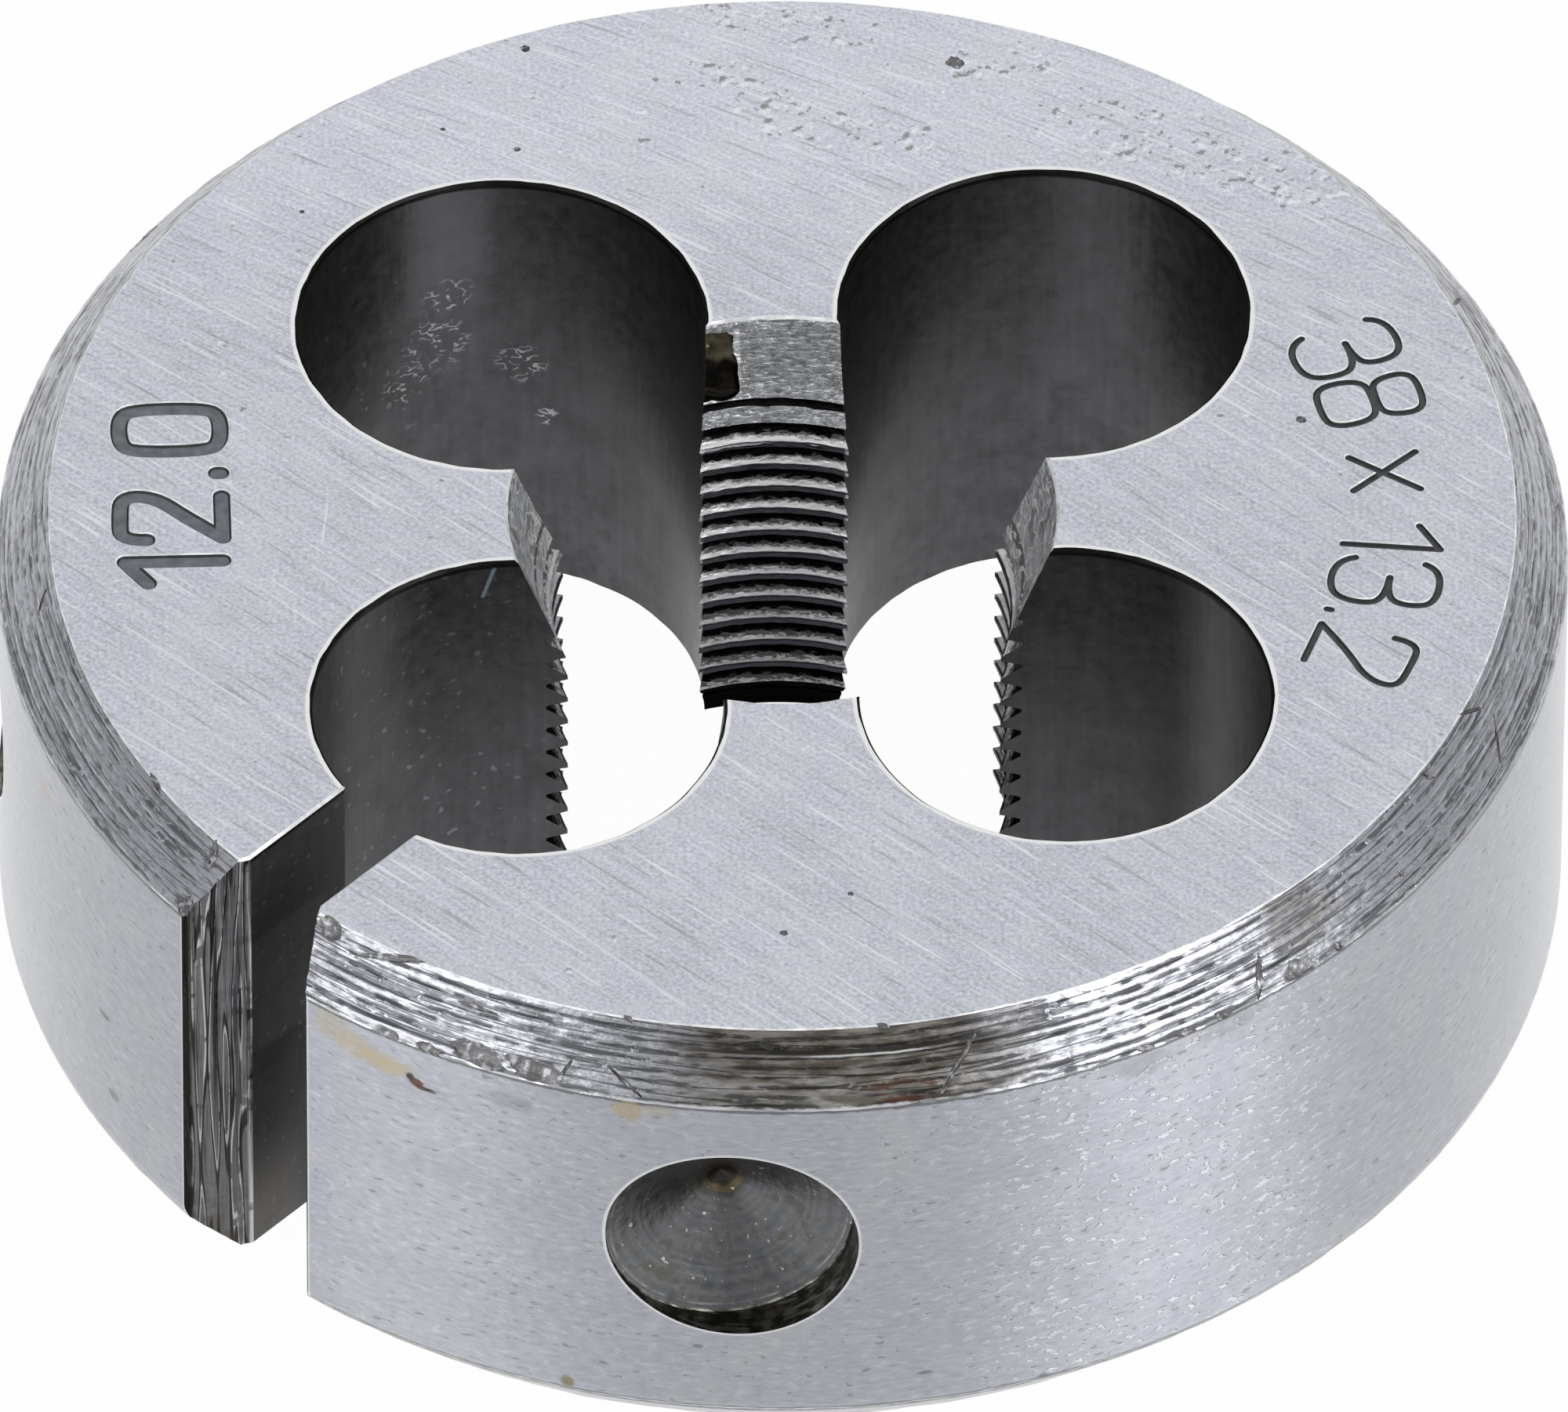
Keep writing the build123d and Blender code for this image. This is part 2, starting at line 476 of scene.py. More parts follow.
def slot_cutter(sizes, wear, finish):
    """Wheel's path through the rim into one chip hole, with its rough V mouth."""
    half_width = sizes.slot_width / 2
    half_mouth = sizes.slot_mouth_width / 2
    half_angle = sizes.slot_mouth_angle / 2
    slope = math.tan(half_angle)
    mouth_reach = math.sqrt(sizes.outside_radius**2 - half_mouth**2)
    mouth_start = mouth_reach - (half_mouth - half_width) / slope
    hole_edge = sizes.chip_circle_radius + math.sqrt(sizes.chip_hole_radius**2 - half_width**2)
    broken = sizes.edge_break
    side = [
        (sizes.chip_circle_radius, half_width + broken),
        (hole_edge - broken, half_width + broken),
        (hole_edge + broken, half_width),
        (mouth_start, half_width),
    ]
    flank_end = mouth_reach - 1.2 * broken
    for strip in range(1, MOUTH_STRIPS + 1):
        along = mouth_start + (flank_end - mouth_start) * strip / MOUTH_STRIPS
        side.append((along, half_width + (along - mouth_start) * slope))
    side.append((sizes.outside_radius + OVERRUN, side[-1][1] + (OVERRUN + 2 * broken) * 1.5))
    outline = side + [(x, -y) for x, y in reversed(side)]
    bpy.ops.mesh.primitive_circle_add(vertices=len(outline), radius=MM, fill_type="NGON")
    cutter = bpy.context.object
    cutter.name = "slot_wheel"
    for vertex, (x, y) in zip(cutter.data.vertices, outline):
        vertex.co = (x, y, -OVERRUN)
    edit(cutter)
    wall = sizes.thickness - 2 * broken
    heights = [broken + wall * row / SLOT_ROWS for row in range(SLOT_ROWS + 1)]
    below = -OVERRUN
    for height in [*heights, sizes.thickness + OVERRUN]:
        bpy.ops.mesh.extrude_region_move(TRANSFORM_OT_translate={"value": (0, 0, height - below)})
        below = height
    leave_edit()
    out = Vector((-math.sin(half_angle), math.cos(half_angle)))
    for vertex in cutter.data.vertices:
        way = 1 if vertex.co.y > 0 else -1
        on_flank = mouth_start + 0.02 * MM < vertex.co.x < flank_end - 0.02 * MM
        if on_flank:
            strip_point = Vector((vertex.co.x / 0.16, way * 5 * MM, vertex.co.z / 6.0))
            groove = rough(strip_point, 1.0 * MM, 7.0) * wear.flank_grooves
            vertex.co.x += out.x * groove
            vertex.co.y += way * out.y * groove
        if not 0 < vertex.co.z < sizes.thickness:
            vertex.co.y += way * (OVERRUN + broken)
    cutter.rotation_euler.z = SLOT_BEARING
    apply_place(cutter)
    finish_with(cutter, finish["slot"], finish["mouth"])
    turned_back = Matrix.Rotation(-SLOT_BEARING, 3, "Z")
    for face in cutter.data.polygons:
        centre = turned_back @ face.center
        face.material_index = 1 if centre.x > mouth_start and abs(centre.y) > half_width else 0
    return finish_flares(cutter, finish["edge"], sizes)


def bore_reamer(sizes, wear, finish):
    """Reamer for the bore at the thread's crests."""
    length_cut = sizes.thickness + 2 * OVERRUN
    rings = [
        (sizes.crest_radius, -OVERRUN + length_cut * row / REAMER_ROWS)
        for row in range(REAMER_ROWS + 1)
    ]
    reamer = draw_up("bore_reamer", rings, THREAD_STEPS)
    for vertex in reamer.data.vertices:
        push_out(vertex, rough(vertex.co, 0.28 * MM, 3.0) * wear.thread_tear * 0.5)
    return finish_with(reamer, finish["thread"])


def thread_tap(sizes, wear, finish):
    """Right-hand tap: the groove's section, screwed up through the bore."""
    depth = sizes.root_radius - sizes.crest_radius + 0.05 * MM
    half_root = sizes.root_flat / 2
    half_mouth = half_root + depth * math.tan(sizes.thread_angle / 2)
    below = 1
    turns = math.ceil(sizes.thickness / sizes.thread_pitch) + 2 * below
    bpy.ops.mesh.primitive_circle_add(vertices=8, radius=MM, fill_type="NOTHING")
    tap = bpy.context.object
    tap.name = "thread_tap"
    start = sizes.thread_start - below * sizes.thread_pitch
    inner = sizes.root_radius - depth
    flank = [
        (inner + depth * share, half_mouth + (half_root - half_mouth) * share)
        for share in (1, 0.66, 0.33, 0)
    ]
    section = [(radius, start + rise) for radius, rise in flank]
    section += [(radius, start - rise) for radius, rise in reversed(flank)]
    for vertex, (x, z) in zip(tap.data.vertices, section):
        vertex.co = (x, 0, z)
    apply_modifier(
        tap,
        "SCREW",
        axis="Z",
        angle=2 * math.pi,
        screw_offset=sizes.thread_pitch,
        iterations=turns,
        steps=THREAD_STEPS,
        render_steps=THREAD_STEPS,
        use_merge_vertices=False,
    )
    edit(tap)
    bpy.ops.mesh.select_all(action="DESELECT")
    bpy.ops.mesh.select_mode(type="EDGE")
    bpy.ops.mesh.select_non_manifold(
        use_wire=False, use_multi_face=False, use_non_contiguous=False, use_verts=False
    )
    bpy.ops.mesh.fill_holes(sides=0)
    leave_edit()
    for vertex in tap.data.vertices:
        vertex.co.z += rough(vertex.co, 0.22 * MM, 9.0) * wear.thread_tear
    return finish_with(tap, finish["thread"])


def lead_cone(upside, sizes, wear, finish):
    """Countersink for the long cone at the top face, or for the short one at the bottom."""
    slope = math.tan((sizes.lead_angle if upside else sizes.exit_angle) / 2)
    depth = (sizes.lead_mouth_radius - sizes.crest_radius) / slope
    tip = sizes.thickness - depth - 0.6 * MM
    mouth = sizes.thickness - sizes.edge_break
    rings = []
    for row in range(CONE_ROWS + 1):
        height = tip + (mouth - tip) * row / CONE_ROWS
        rings.append((sizes.lead_mouth_radius - (sizes.thickness - height) * slope, height))
    rings.append((rings[-1][0] + OVERRUN, sizes.thickness + OVERRUN))
    cone = draw_up("lead_countersink", rings, THREAD_STEPS)
    for vertex in cone.data.vertices:
        if vertex.co.z < mouth - 0.01 * MM:
            stroke = Vector((vertex.co.x, vertex.co.y, vertex.co.z * 6))
            push_out(vertex, rough(stroke, 0.7 * MM, 11.0) * wear.cone_tear)
        elif upside and vertex.co.z < sizes.thickness:
            vertex.co.z += rough(vertex.co, 0.4 * MM, 17.0) * wear.hole_chips
    if not upside:
        edit(cone)
        bpy.ops.transform.mirror(
            orient_type="GLOBAL",
            constraint_axis=(False, False, True),
            center_override=(0, 0, sizes.thickness / 2),
        )
        leave_edit()
    finish_with(cone, finish["lead" if upside else "low_lead"])
    return finish_flares(cone, finish["edge"], sizes)


def dimple_drill(mount, sizes, finish):
    """Drill for one set screw dimple, at the mount's place and direction."""
    point = sizes.dimple_radius / math.tan(sizes.dimple_angle / 2)
    rings = [
        (0.02 * MM, -sizes.dimple_depth - point),
        (sizes.dimple_radius * 0.5, -sizes.dimple_depth - point / 2),
        (sizes.dimple_radius - 0.03 * MM, -sizes.dimple_depth - 0.02 * MM),
        (sizes.dimple_radius, -sizes.dimple_depth + 0.03 * MM),
        (sizes.dimple_radius, 4 * MM),
    ]
    drill = draw_up("dimple_drill", rings, DIMPLE_STEPS)
    axis = Vector(mount["axis"])
    reach = axis.to_2d().length
    on_rim = Vector(mount["pos_m"])
    while on_rim.to_2d().length < sizes.outside_radius:
        on_rim = on_rim + axis / reach * 0.01 * MM
    point_along(drill, axis)
    drill.location = on_rim
    apply_place(drill)
    return finish_with(drill, finish["dimple"])


def build_die(sizes, wear, finish):
    """Turns, drills, slots, taps and engraves the die."""
    die = turned_disc(sizes, wear, finish)
    for hole in range(sizes.chip_hole_count):
        angle = sizes.first_chip_hole + hole * 2 * math.pi / sizes.chip_hole_count
        cut(die, chip_hole(angle, sizes, wear, finish))
    for make_cutter in (slot_cutter, bore_reamer, thread_tap):
        cut(die, make_cutter(sizes, wear, finish))
    for upside in (True, False):
        cut(die, lead_cone(upside, sizes, wear, finish))
    for name in DIMPLES:
        cut(die, dimple_drill(mounts[name], sizes, finish))
    cut(die, chip_cutter(sizes, finish))
    cut(die, land_notch(sizes, finish))
    engrave_figures(die, sizes, wear, finish)
    edit(die)
    bpy.ops.mesh.quads_convert_to_tris(quad_method="BEAUTY", ngon_method="BEAUTY")
    bpy.ops.mesh.dissolve_degenerate(threshold=0.0002 * MM)
    bpy.ops.object.mode_set(mode="OBJECT")
    die.data.validate()
    bpy.ops.object.shade_smooth_by_angle(angle=math.radians(28))
    return die


# Chips, scratches and figures

def on_chamfer(bearing, down, sizes):
    """A point on the top chamfer and the way out of it.

    The bearing is in degrees from the front, and the way down the slope in millimetres.
    """
    slope = chamfer_slope(sizes) / MM
    radius = sizes.outside_radius - sizes.chamfer_width * (1 - down / slope)
    height = sizes.thickness - sizes.chamfer_height * down / slope
    out = direction(math.radians(bearing), math.atan2(sizes.chamfer_width, sizes.chamfer_height))
    flat = direction(math.radians(bearing), 0)
    return Vector((flat.x * radius, flat.y * radius, height)), out


def gouge(start, end, width, depth, out, seed):
    """A rough dent from start to end, with its deepest line at depth under the surface."""
    bpy.ops.mesh.primitive_ico_sphere_add(subdivisions=3, radius=1.0, location=(0, 0, 0))
    dent = bpy.context.object
    dent.name = "gouge"
    along = (end - start).normalized()
    across = out.cross(along).normalized()
    lift = 0.35 * depth
    half_length = (end - start).length / 2
    middle = (start + end) / 2 + out * lift
    scale = 1 / math.sqrt(1 - (lift / (depth + lift)) ** 2)
    for vertex in dent.data.vertices:
        jag = 1 + 0.32 * noise.noise(vertex.co * 2.2 + Vector((seed, 0, 0)))
        jag += 0.18 * noise.noise(vertex.co * 6.0 + Vector((0, seed, 0)))
        point = vertex.co * jag
        lumps = 0.16 * noise.noise(vertex.co * 3.6 + Vector((seed, seed, 0)))
        vertex.co = middle + along * point.x * half_length * scale
        vertex.co += across * point.y * width * scale + out * (point.z + lumps) * (depth + lift)
    return dent


# Dents in the top chamfer: start and end, each as degrees from the front and millimetres down
# the slope, then width and depth in millimetres
CHAMFER_GOUGES = [
    ((-35.9, 0.44), (-30.2, -0.10), 0.10, 0.045),
    ((-27.2, 1.62), (-21.8, 1.78), 0.26, 0.06),
    ((-23.0, 1.66), (-18.0, 1.74), 0.24, 0.06),
    ((-15.2, 1.20), (-12.1, 1.88), 0.05, 0.05),
    ((-18.6, 1.92), (-17.7, 1.20), 0.05, 0.05),
    ((9.4, 1.88), (12.8, 0.52), 0.075, 0.07),
    ((36.3, 1.05), (34.9, 1.98), 0.10, 0.08),
    ((37.4, 1.72), (40.6, 1.90), 0.24, 0.06),
    ((42.4, 1.78), (43.0, 2.00), 0.12, 0.06),
    ((50.5, 1.40), (50.9, 1.50), 0.09, 0.04),
    ((57.6, 0.05), (58.6, 0.50), 0.06, 0.05),
    ((64.7, 0.00), (67.4, 0.50), 0.06, 0.06),
    ((67.6, 0.85), (64.4, 1.75), 0.05, 0.05),
    ((-40.3, -0.05), (-38.4, 0.42), 0.26, 0.07),
    ((-61.3, -0.10), (-58.9, 0.15), 0.10, 0.05),
    ((-27.6, 0.60), (-24.0, 0.62), 0.05, 0.03),
    ((24.6, 1.90), (26.0, 2.00), 0.10, 0.05),
    ((27.6, 1.88), (29.4, 2.00), 0.12, 0.05),
    ((31.0, 1.84), (32.6, 2.00), 0.13, 0.06),
    ((-32.6, 1.92), (-30.6, 2.00), 0.14, 0.05),
    ((-29.4, 1.88), (-27.4, 2.00), 0.14, 0.05),
    ((-14.4, -0.05), (-13.6, 0.10), 0.08, 0.04),
    ((5.2, -0.05), (6.3, 0.12), 0.08, 0.05),
    ((-84.0, 0.30), (-82.0, 0.80), 0.06, 0.05),
    ((-51.9, 0.00), (-51.1, 0.62), 0.13, 0.07),
    ((-51.5, 1.50), (-51.0, 2.10), 0.20, 0.11),
    ((112.0, 0.20), (114.5, 1.10), 0.06, 0.05),
    ((158.0, 1.70), (161.0, 1.95), 0.16, 0.06),
    ((-128.0, 1.75), (-125.0, 1.95), 0.14, 0.06),
]

# Pits in the top face: x, y, width and depth in millimetres
FACE_PITS = [
    (-5.71, 16.22, 0.11, 0.10),
    (-6.01, 12.69, 0.08, 0.05),
    (-7.80, 13.44, 0.06, 0.05),
    (-11.31, 10.66, 0.06, 0.05),
    (4.76, 15.39, 0.20, 0.05),
    (12.66, 2.68, 0.12, 0.05),
    (6.31, -11.44, 0.13, 0.12),
    (1.17, -13.19, 0.07, 0.03),
    (-0.47, -14.46, 0.09, 0.03),
]

# Bright scratches on the top face: x and y of start and end, and how clear they are
FACE_SCRATCHES = [
    (-11.14, -0.86, -10.96, 0.60, 0.9),
    (-16.0, -3.5, -13.1, -6.3, 0.8),
    (-6.4, -13.2, -3.0, -16.8, 0.8),
    (-8.5, -12.0, -5.8, -14.4, 0.6),
    (-0.3, -13.6, 2.2, -15.9, 0.6),
    (-15.7, 9.1, -13.6, 7.2, 0.7),
    (-12.3, 9.9, -10.7, 8.5, 0.5),
]


def chip_cutter(sizes, finish):
    """All chips, scratches and pits as one cutter."""
    dents = []
    for place, ((bearing, down), (end_bearing, end_down), width, depth) in enumerate(CHAMFER_GOUGES):
        start, out = on_chamfer(bearing, down, sizes)
        end, _ = on_chamfer(end_bearing, end_down, sizes)
        dents.append(gouge(start, end, width * MM, depth * MM, out, place))
    up = Vector((0, 0, 1))
    for place, (x, y, width, depth) in enumerate(FACE_PITS):
        middle = Vector((x * MM, y * MM, sizes.thickness))
        reach = Vector((width * MM, -0.4 * width * MM, 0))
        dents.append(gouge(middle - reach, middle + reach, width * MM, depth * MM, up, 50 + place))
    return join_up(dents, finish["torn"])


# Size and middle of the break in the back land
NOTCH_SIZE = (1.15 * MM, 0.90 * MM, 1.78 * MM)
NOTCH_PLACE = (-1.50 * MM, 6.03 * MM, 12.08 * MM)


def land_notch(sizes, finish):
    """The piece broken out of the back land's lead cone, beside the chip hole."""
    bpy.ops.mesh.primitive_cube_add(size=1.0, location=(0, 0, 0))
    block = bpy.context.object
    block.name = "land_notch"
    block.dimensions = NOTCH_SIZE
    block.rotation_euler.x = -sizes.lead_angle / 2
    block.location = NOTCH_PLACE
    apply_place(block)
    edit(block)
    bpy.ops.mesh.bevel(offset=0.16 * MM, segments=3, affect="EDGES")
    bpy.ops.mesh.select_all(action="SELECT")
    bpy.ops.mesh.subdivide(number_cuts=7)
    leave_edit()
    for vertex in block.data.vertices:
        if vertex.co.x > NOTCH_PLACE[0]:
            vertex.co.x += 0.11 * (12.3 * MM - vertex.co.z)
        for way in range(3):
            for grain, seed, depth in ((0.42, 20.0, 0.09), (0.18, 30.0, 0.05)):
                vertex.co[way] += rough(vertex.co, grain * MM, seed + way) * depth * MM
    return finish_with(block, finish["notch"])


# Height of the figures, and the width and strokes of each in a cell one unit high. A stroke is
# its points, and whether it closes.
FIGURE_HEIGHT = 2.45 * MM
FIGURES = {
    "0": (0.60, [
        (
            [(0, 0.16), (0, 0.84), (0.10, 1), (0.50, 1), (0.60, 0.84), (0.60, 0.16), (0.50, 0), (0.10, 0)],
            True,
        ),
    ]),
    "1": (0.34, [([(0, 0.76), (0.30, 0.98)], False), ([(0.30, 0.98), (0.30, 0.02)], False)]),
    "2": (0.60, [
        ([(0, 0.76), (0, 1.02), (0.30, 1.02), (0.62, 1.0), (0.60, 0.66), (0.30, 0.36), (0.01, 0.01)], False),
        ([(0.01, 0.01), (0.59, 0.01)], False),
    ]),
    "3": (0.58, [
        ([(0, 0.86), (0.06, 1.03), (0.50, 1.04), (0.58, 0.76), (0.50, 0.53), (0.22, 0.53)], False),
        ([(0.26, 0.53), (0.56, 0.53), (0.64, 0.26), (0.54, -0.04), (0.04, -0.03), (-0.02, 0.16)], False),
    ]),
    "8": (0.58, [
        ([(0.29, 0.55), (0.04, 0.58), (0.02, 0.98), (0.29, 1.02), (0.56, 0.98), (0.54, 0.58)], True),
        ([(0.29, 0.53), (0.0, 0.50), (-0.04, 0.02), (0.29, -0.03), (0.62, 0.02), (0.58, 0.50)], True),
    ]),
    "x": (0.50, [([(0, 0.12), (0.50, 0.78)], False), ([(0, 0.78), (0.50, 0.12)], False)]),
    ".": (0.10, [([(0.05, 0.01), (0.05, 0.05)], False)]),
    " ": (0.16, []),
}


def stroke_side(width, depth):
    """Half the section of an engraved stroke: flat bottom, steep wall and a lifted lip."""
    half = width / 2
    return [(half * 0.76, -depth), (half, -0.024 * MM), (half + 0.12 * MM, 0.060 * MM)]


def end_cutter(place, width, depth):
    """The round end of a stroke."""
    end = draw_up("stroke_end", stroke_side(width, depth), STROKE_END_STEPS)
    end.location = place
    apply_place(end)
    return end


def stroke_cutter(points, closed, width, depth):
    """A groove along smooth points on the top face, flat at the bottom."""
    section = bpy.data.curves.new("stroke_section", "CURVE")
    outline = section.splines.new("POLY")
    side = stroke_side(width, depth)
    corners = side + [(-x, y) for x, y in reversed(side)]
    outline.points.add(len(corners) - 1)
    for point, (x, y) in zip(outline.points, corners):
        point.co = (x, y, 0, 1)
    outline.use_cyclic_u = True
    profile = add_to_scene("stroke_section", section)
    path = bpy.data.curves.new("stroke", "CURVE")
    path.dimensions = "3D"
    path.twist_mode = "Z_UP"
    spline = path.splines.new("NURBS")
    spline.points.add(len(points) - 1)
    for point, place in zip(spline.points, points):
        point.co = (*place, 1)
    spline.order_u = 3
    spline.use_endpoint_u = not closed
    spline.use_cyclic_u = closed
    spline.resolution_u = 5
    path.bevel_mode = "OBJECT"
    path.bevel_object = profile
    path.use_fill_caps = True
    pick(add_to_scene("stroke", path))
    bpy.ops.object.convert(target="MESH")
    stroke = bpy.context.object
    bpy.data.objects.remove(profile)
    edit(stroke)
    leave_edit()
    return stroke


def engrave(die, text, place, gap, width, depth, marks):
    """Cuts figures into the top face.

    Place turns a way along and up into a point, and marks are the finishes of a stroke's bottom,
    wall and lip.
    """
    layers = {}
    height = FIGURE_HEIGHT
    along = -sum(FIGURES[figure][0] * height + gap for figure in text) / 2 + gap / 2
    for figure in text:
        span, strokes = FIGURES[figure]
        for layer, (points, closed) in enumerate(strokes):
            placed = [place(along + x * height, (y - 0.5) * height) for x, y in points]
            layers.setdefault((layer, "run"), []).append(stroke_cutter(placed, closed, width, depth))
            if not closed:
                for end in (0, -1):
                    disc = end_cutter(placed[end], width, depth)
                    layers.setdefault((layer, end), []).append(disc)
        along += span * height + gap
    surface = place(0, 0).z
    for strokes in layers.values():
        cutter = join_up(strokes, *marks)
        for face in cutter.data.polygons:
            level = abs(face.normal.z) > 0.93
            face.material_index = 2 if face.center.z > surface else 0 if level else 1
        cut(die, cutter)


def engrave_figures(die, sizes, wear, finish):
    """Thread size at the left and blank size at the right, as plain figures."""
    top = sizes.thickness

    def left_place(along, up):
        return Vector((-14.72 * MM - up, 0.93 * MM + along, top))

    def right_place(along, up):
        radius = 14.75 * MM
        angle = math.radians(-0.6) - along / radius
        return Vector((math.cos(angle), math.sin(angle), 0)) * (radius + up) + Vector((0, 0, top))

    bore = f"{2 * sizes.root_radius / MM:.1f}"
    blank = f"{2 * sizes.outside_radius / MM:.0f} x {sizes.thickness / MM:.1f}"
    # The lifted lips take the edge finish, a painted highlight round each stroke
    bold = (finish["etch"], finish["etch_edge"], finish["edge"])
    thin = (finish["figure"], finish["figure"], finish["edge"])
    engrave(die, bore, left_place, 0.66 * MM, 0.42 * MM, wear.mark_depth, bold)
    engrave(die, blank, right_place, 0.42 * MM, 0.18 * MM, wear.figure_depth, thin)


# Finishes

class Value:
    """A shader socket with arithmetic, so that a finish reads as a formula."""

    def __init__(self, tree, socket):
        self.tree = tree
        self.socket = socket

    def __add__(self, other):
        if self.socket.type == "VECTOR":
            return self.tree.vector("ADD", self, other)
        return self.tree.maths("ADD", self, other)

    def __radd__(self, other):
        return self.tree.maths("ADD", other, self)

    def __sub__(self, other):
        return self.tree.maths("SUBTRACT", self, other)

    def __rsub__(self, other):
        return self.tree.maths("SUBTRACT", other, self)

    def __mul__(self, other):
        if self.socket.type == "VECTOR":
            return self.tree.scaled(self, other)
        return self.tree.maths("MULTIPLY", self, other)

    def __rmul__(self, other):
        return self.tree.maths("MULTIPLY", other, self)

    def __truediv__(self, other):
        return self.tree.maths("DIVIDE", self, other)


class Tree:
    """The nodes of one material, or of the world."""

    def __init__(self, owner):
        owner.use_nodes = True
        self.nodes = owner.node_tree.nodes
        self.links = owner.node_tree.links

    def node(self, kind, settings, sockets):
        """A new node with these settings and sockets. Its outputs come back by name."""
        made = self.nodes.new("ShaderNode" + kind)
        for setting, value in settings.items():
            setattr(made, setting, value)
        return self.fill(made, sockets)

    def fill(self, node, sockets):
        """Gives sockets of a node their values or links. Its outputs come back by name."""
        for socket, value in sockets.items():
            self.plug(node.inputs[socket], value)
        return {out.name: Value(self, out) for out in node.outputs if out.enabled}

    def plug(self, socket, value):
        """Links a value to a socket, or sets a number or colour on it."""
        if isinstance(value, Value):
            self.links.new(value.socket, socket)
        elif socket.type == "RGBA" and len(value) == 3:
            socket.default_value = (*value, 1)
        else:
            socket.default_value = value

    def maths(self, operation, *values):
        return self.node("Math", {"operation": operation}, dict(enumerate(values)))["Value"]

    def vector(self, operation, *values, out="Vector"):
        return self.node("VectorMath", {"operation": operation}, dict(enumerate(values)))[out]

    def scaled(self, vector, share):
        """The vector times a number."""
        settings = {"operation": "SCALE"}
        return self.node("VectorMath", settings, {"Vector": vector, "Scale": share})["Vector"]


class Paint(Tree):
    """The nodes of one finish, with the steel's colour as it is laid on."""

    def __init__(self, name, settings):
        self.material = bpy.data.materials.new(name)
        super().__init__(self.material)
        self.shader = self.nodes["Principled BSDF"]
        self.fill(self.shader, {"Metallic": 1.0, **settings})
        self.steel = None
        self.point = self.node("TexCoord", {}, {})["Object"] * (1 / MM)
        self.x, self.y, self.z = self.node("SeparateXYZ", {}, {0: self.point}).values()
        self.radius = self.maths("SQRT", self.x * self.x + self.y * self.y)

    def join(self, x, y, z):
        return self.node("CombineXYZ", {}, {"X": x, "Y": y, "Z": z})["Vector"]

    def grain(self, place, detail=2.0):
        """Noise from 0 to 1 with grains one unit long, at a vector or at three numbers."""
        if isinstance(place, tuple):
            place = self.join(*place)
        sockets = {"Vector": place, "Scale": 1.0, "Detail": detail}
        return self.node("TexNoise", {}, sockets)["Fac"]

    def step(self, value, low, high):
        """Rises smoothly from 0 at low to 1 at high, or falls where high is the lower."""
        sockets = {"Value": value, "From Min": low, "From Max": high}
        if low > high:
            sockets = {"Value": value, "From Min": high, "From Max": low, "To Min": 1.0, "To Max": 0.0}
        return self.node("MapRange", {"interpolation_type": "SMOOTHSTEP"}, sockets)["Result"]

    def apart(self, value, low, high):
        """A step by how far the value is from 0, to either side."""
        return self.step(self.maths("ABSOLUTE", value), low, high)

    def mix(self, share, first, second, kind="MIX"):
        """The first colour, turning into the second, or into their product, as share goes to 1."""
        settings = {"data_type": "RGBA", "blend_type": kind}
        return self.node("Mix", settings, {0: share, 6: first, 7: second})["Result"]

    def shade(self, share, tone):
        """The colour times a number."""
        if not isinstance(share, Value):
            return tuple(min(1, part * share) for part in tone)
        return self.mix(1.0, tone, self.join(share, share, share), "MULTIPLY")

    def lay(self, share, tone):
        """Lays a colour over the steel where share is 1."""
        self.steel = self.mix(share, self.steel, tone)

    def around(self, radius):
        """Way round the bore at this radius in millimetres, with its seam in the slot."""
        cosine, sine = math.cos(SEAM_TURN), math.sin(SEAM_TURN)
        turned_x = self.x * cosine - self.y * sine
        turned_y = self.x * sine + self.y * cosine
        return self.maths("ARCTAN2", turned_y, turned_x) * radius

    def past_hole(self, sizes):
        """Distance in millimetres from the wall of the nearest chip hole."""
        place = direction(sizes.first_chip_hole, 0) * sizes.chip_circle_radius / MM
        beside = self.maths("ABSOLUTE", self.x) - abs(place.x)
        ahead = self.maths("ABSOLUTE", self.y) - abs(place.y)
        away = self.maths("SQRT", beside * beside + ahead * ahead)
        return away - sizes.chip_hole_radius / MM

    def line(self, start, end):
        """Distance in millimetres from the straight line between two points in metres."""
        start, end = Vector(start) / MM, Vector(end) / MM
        run = end - start
        from_start = self.vector("SUBTRACT", self.point, tuple(start))
        share = self.vector("DOT_PRODUCT", from_start, tuple(run / run.length_squared), out="Value")
        share = self.node("Clamp", {}, {"Value": share})["Result"]
        return self.vector("DISTANCE", from_start, self.scaled(tuple(run), share), out="Value")

    def face_line(self, ends, sizes):
        """Distance in millimetres from a line on the top face, given by x and y of its two ends."""
        start_x, start_y, end_x, end_y = ends
        start = (start_x * MM, start_y * MM, sizes.thickness)
        return self.line(start, (end_x * MM, end_y * MM, sizes.thickness))

    def off_dimple(self, name):
        """Distance in millimetres from a dimple's axis."""
        centre = Vector(mounts[name]["pos_m"])
        axis = Vector(mounts[name]["axis"]) * 4 * MM
        return self.line(centre - axis, centre + axis)

    def off_slot(self):
        """Distance in millimetres to either side of the slot's middle."""
        return self.maths("ABSOLUTE", self.y * slot_axis[0] - self.x * slot_axis[1])

    def spot(self, centre, reach, edge, ragged=0.4, flat=1.0):
        """A patch with an edge ragged by noise, its centre in metres and its reach in millimetres."""
        from_centre = self.vector("SUBTRACT", self.point, tuple(Vector(centre) / MM))
        squashed = self.vector("MULTIPLY", from_centre, (1.0, 1.0, flat))
        away = self.vector("LENGTH", squashed, out="Value")
        return self.step(away / reach + ragged * 2 * (edge - 0.5), 1.0, 0.45)

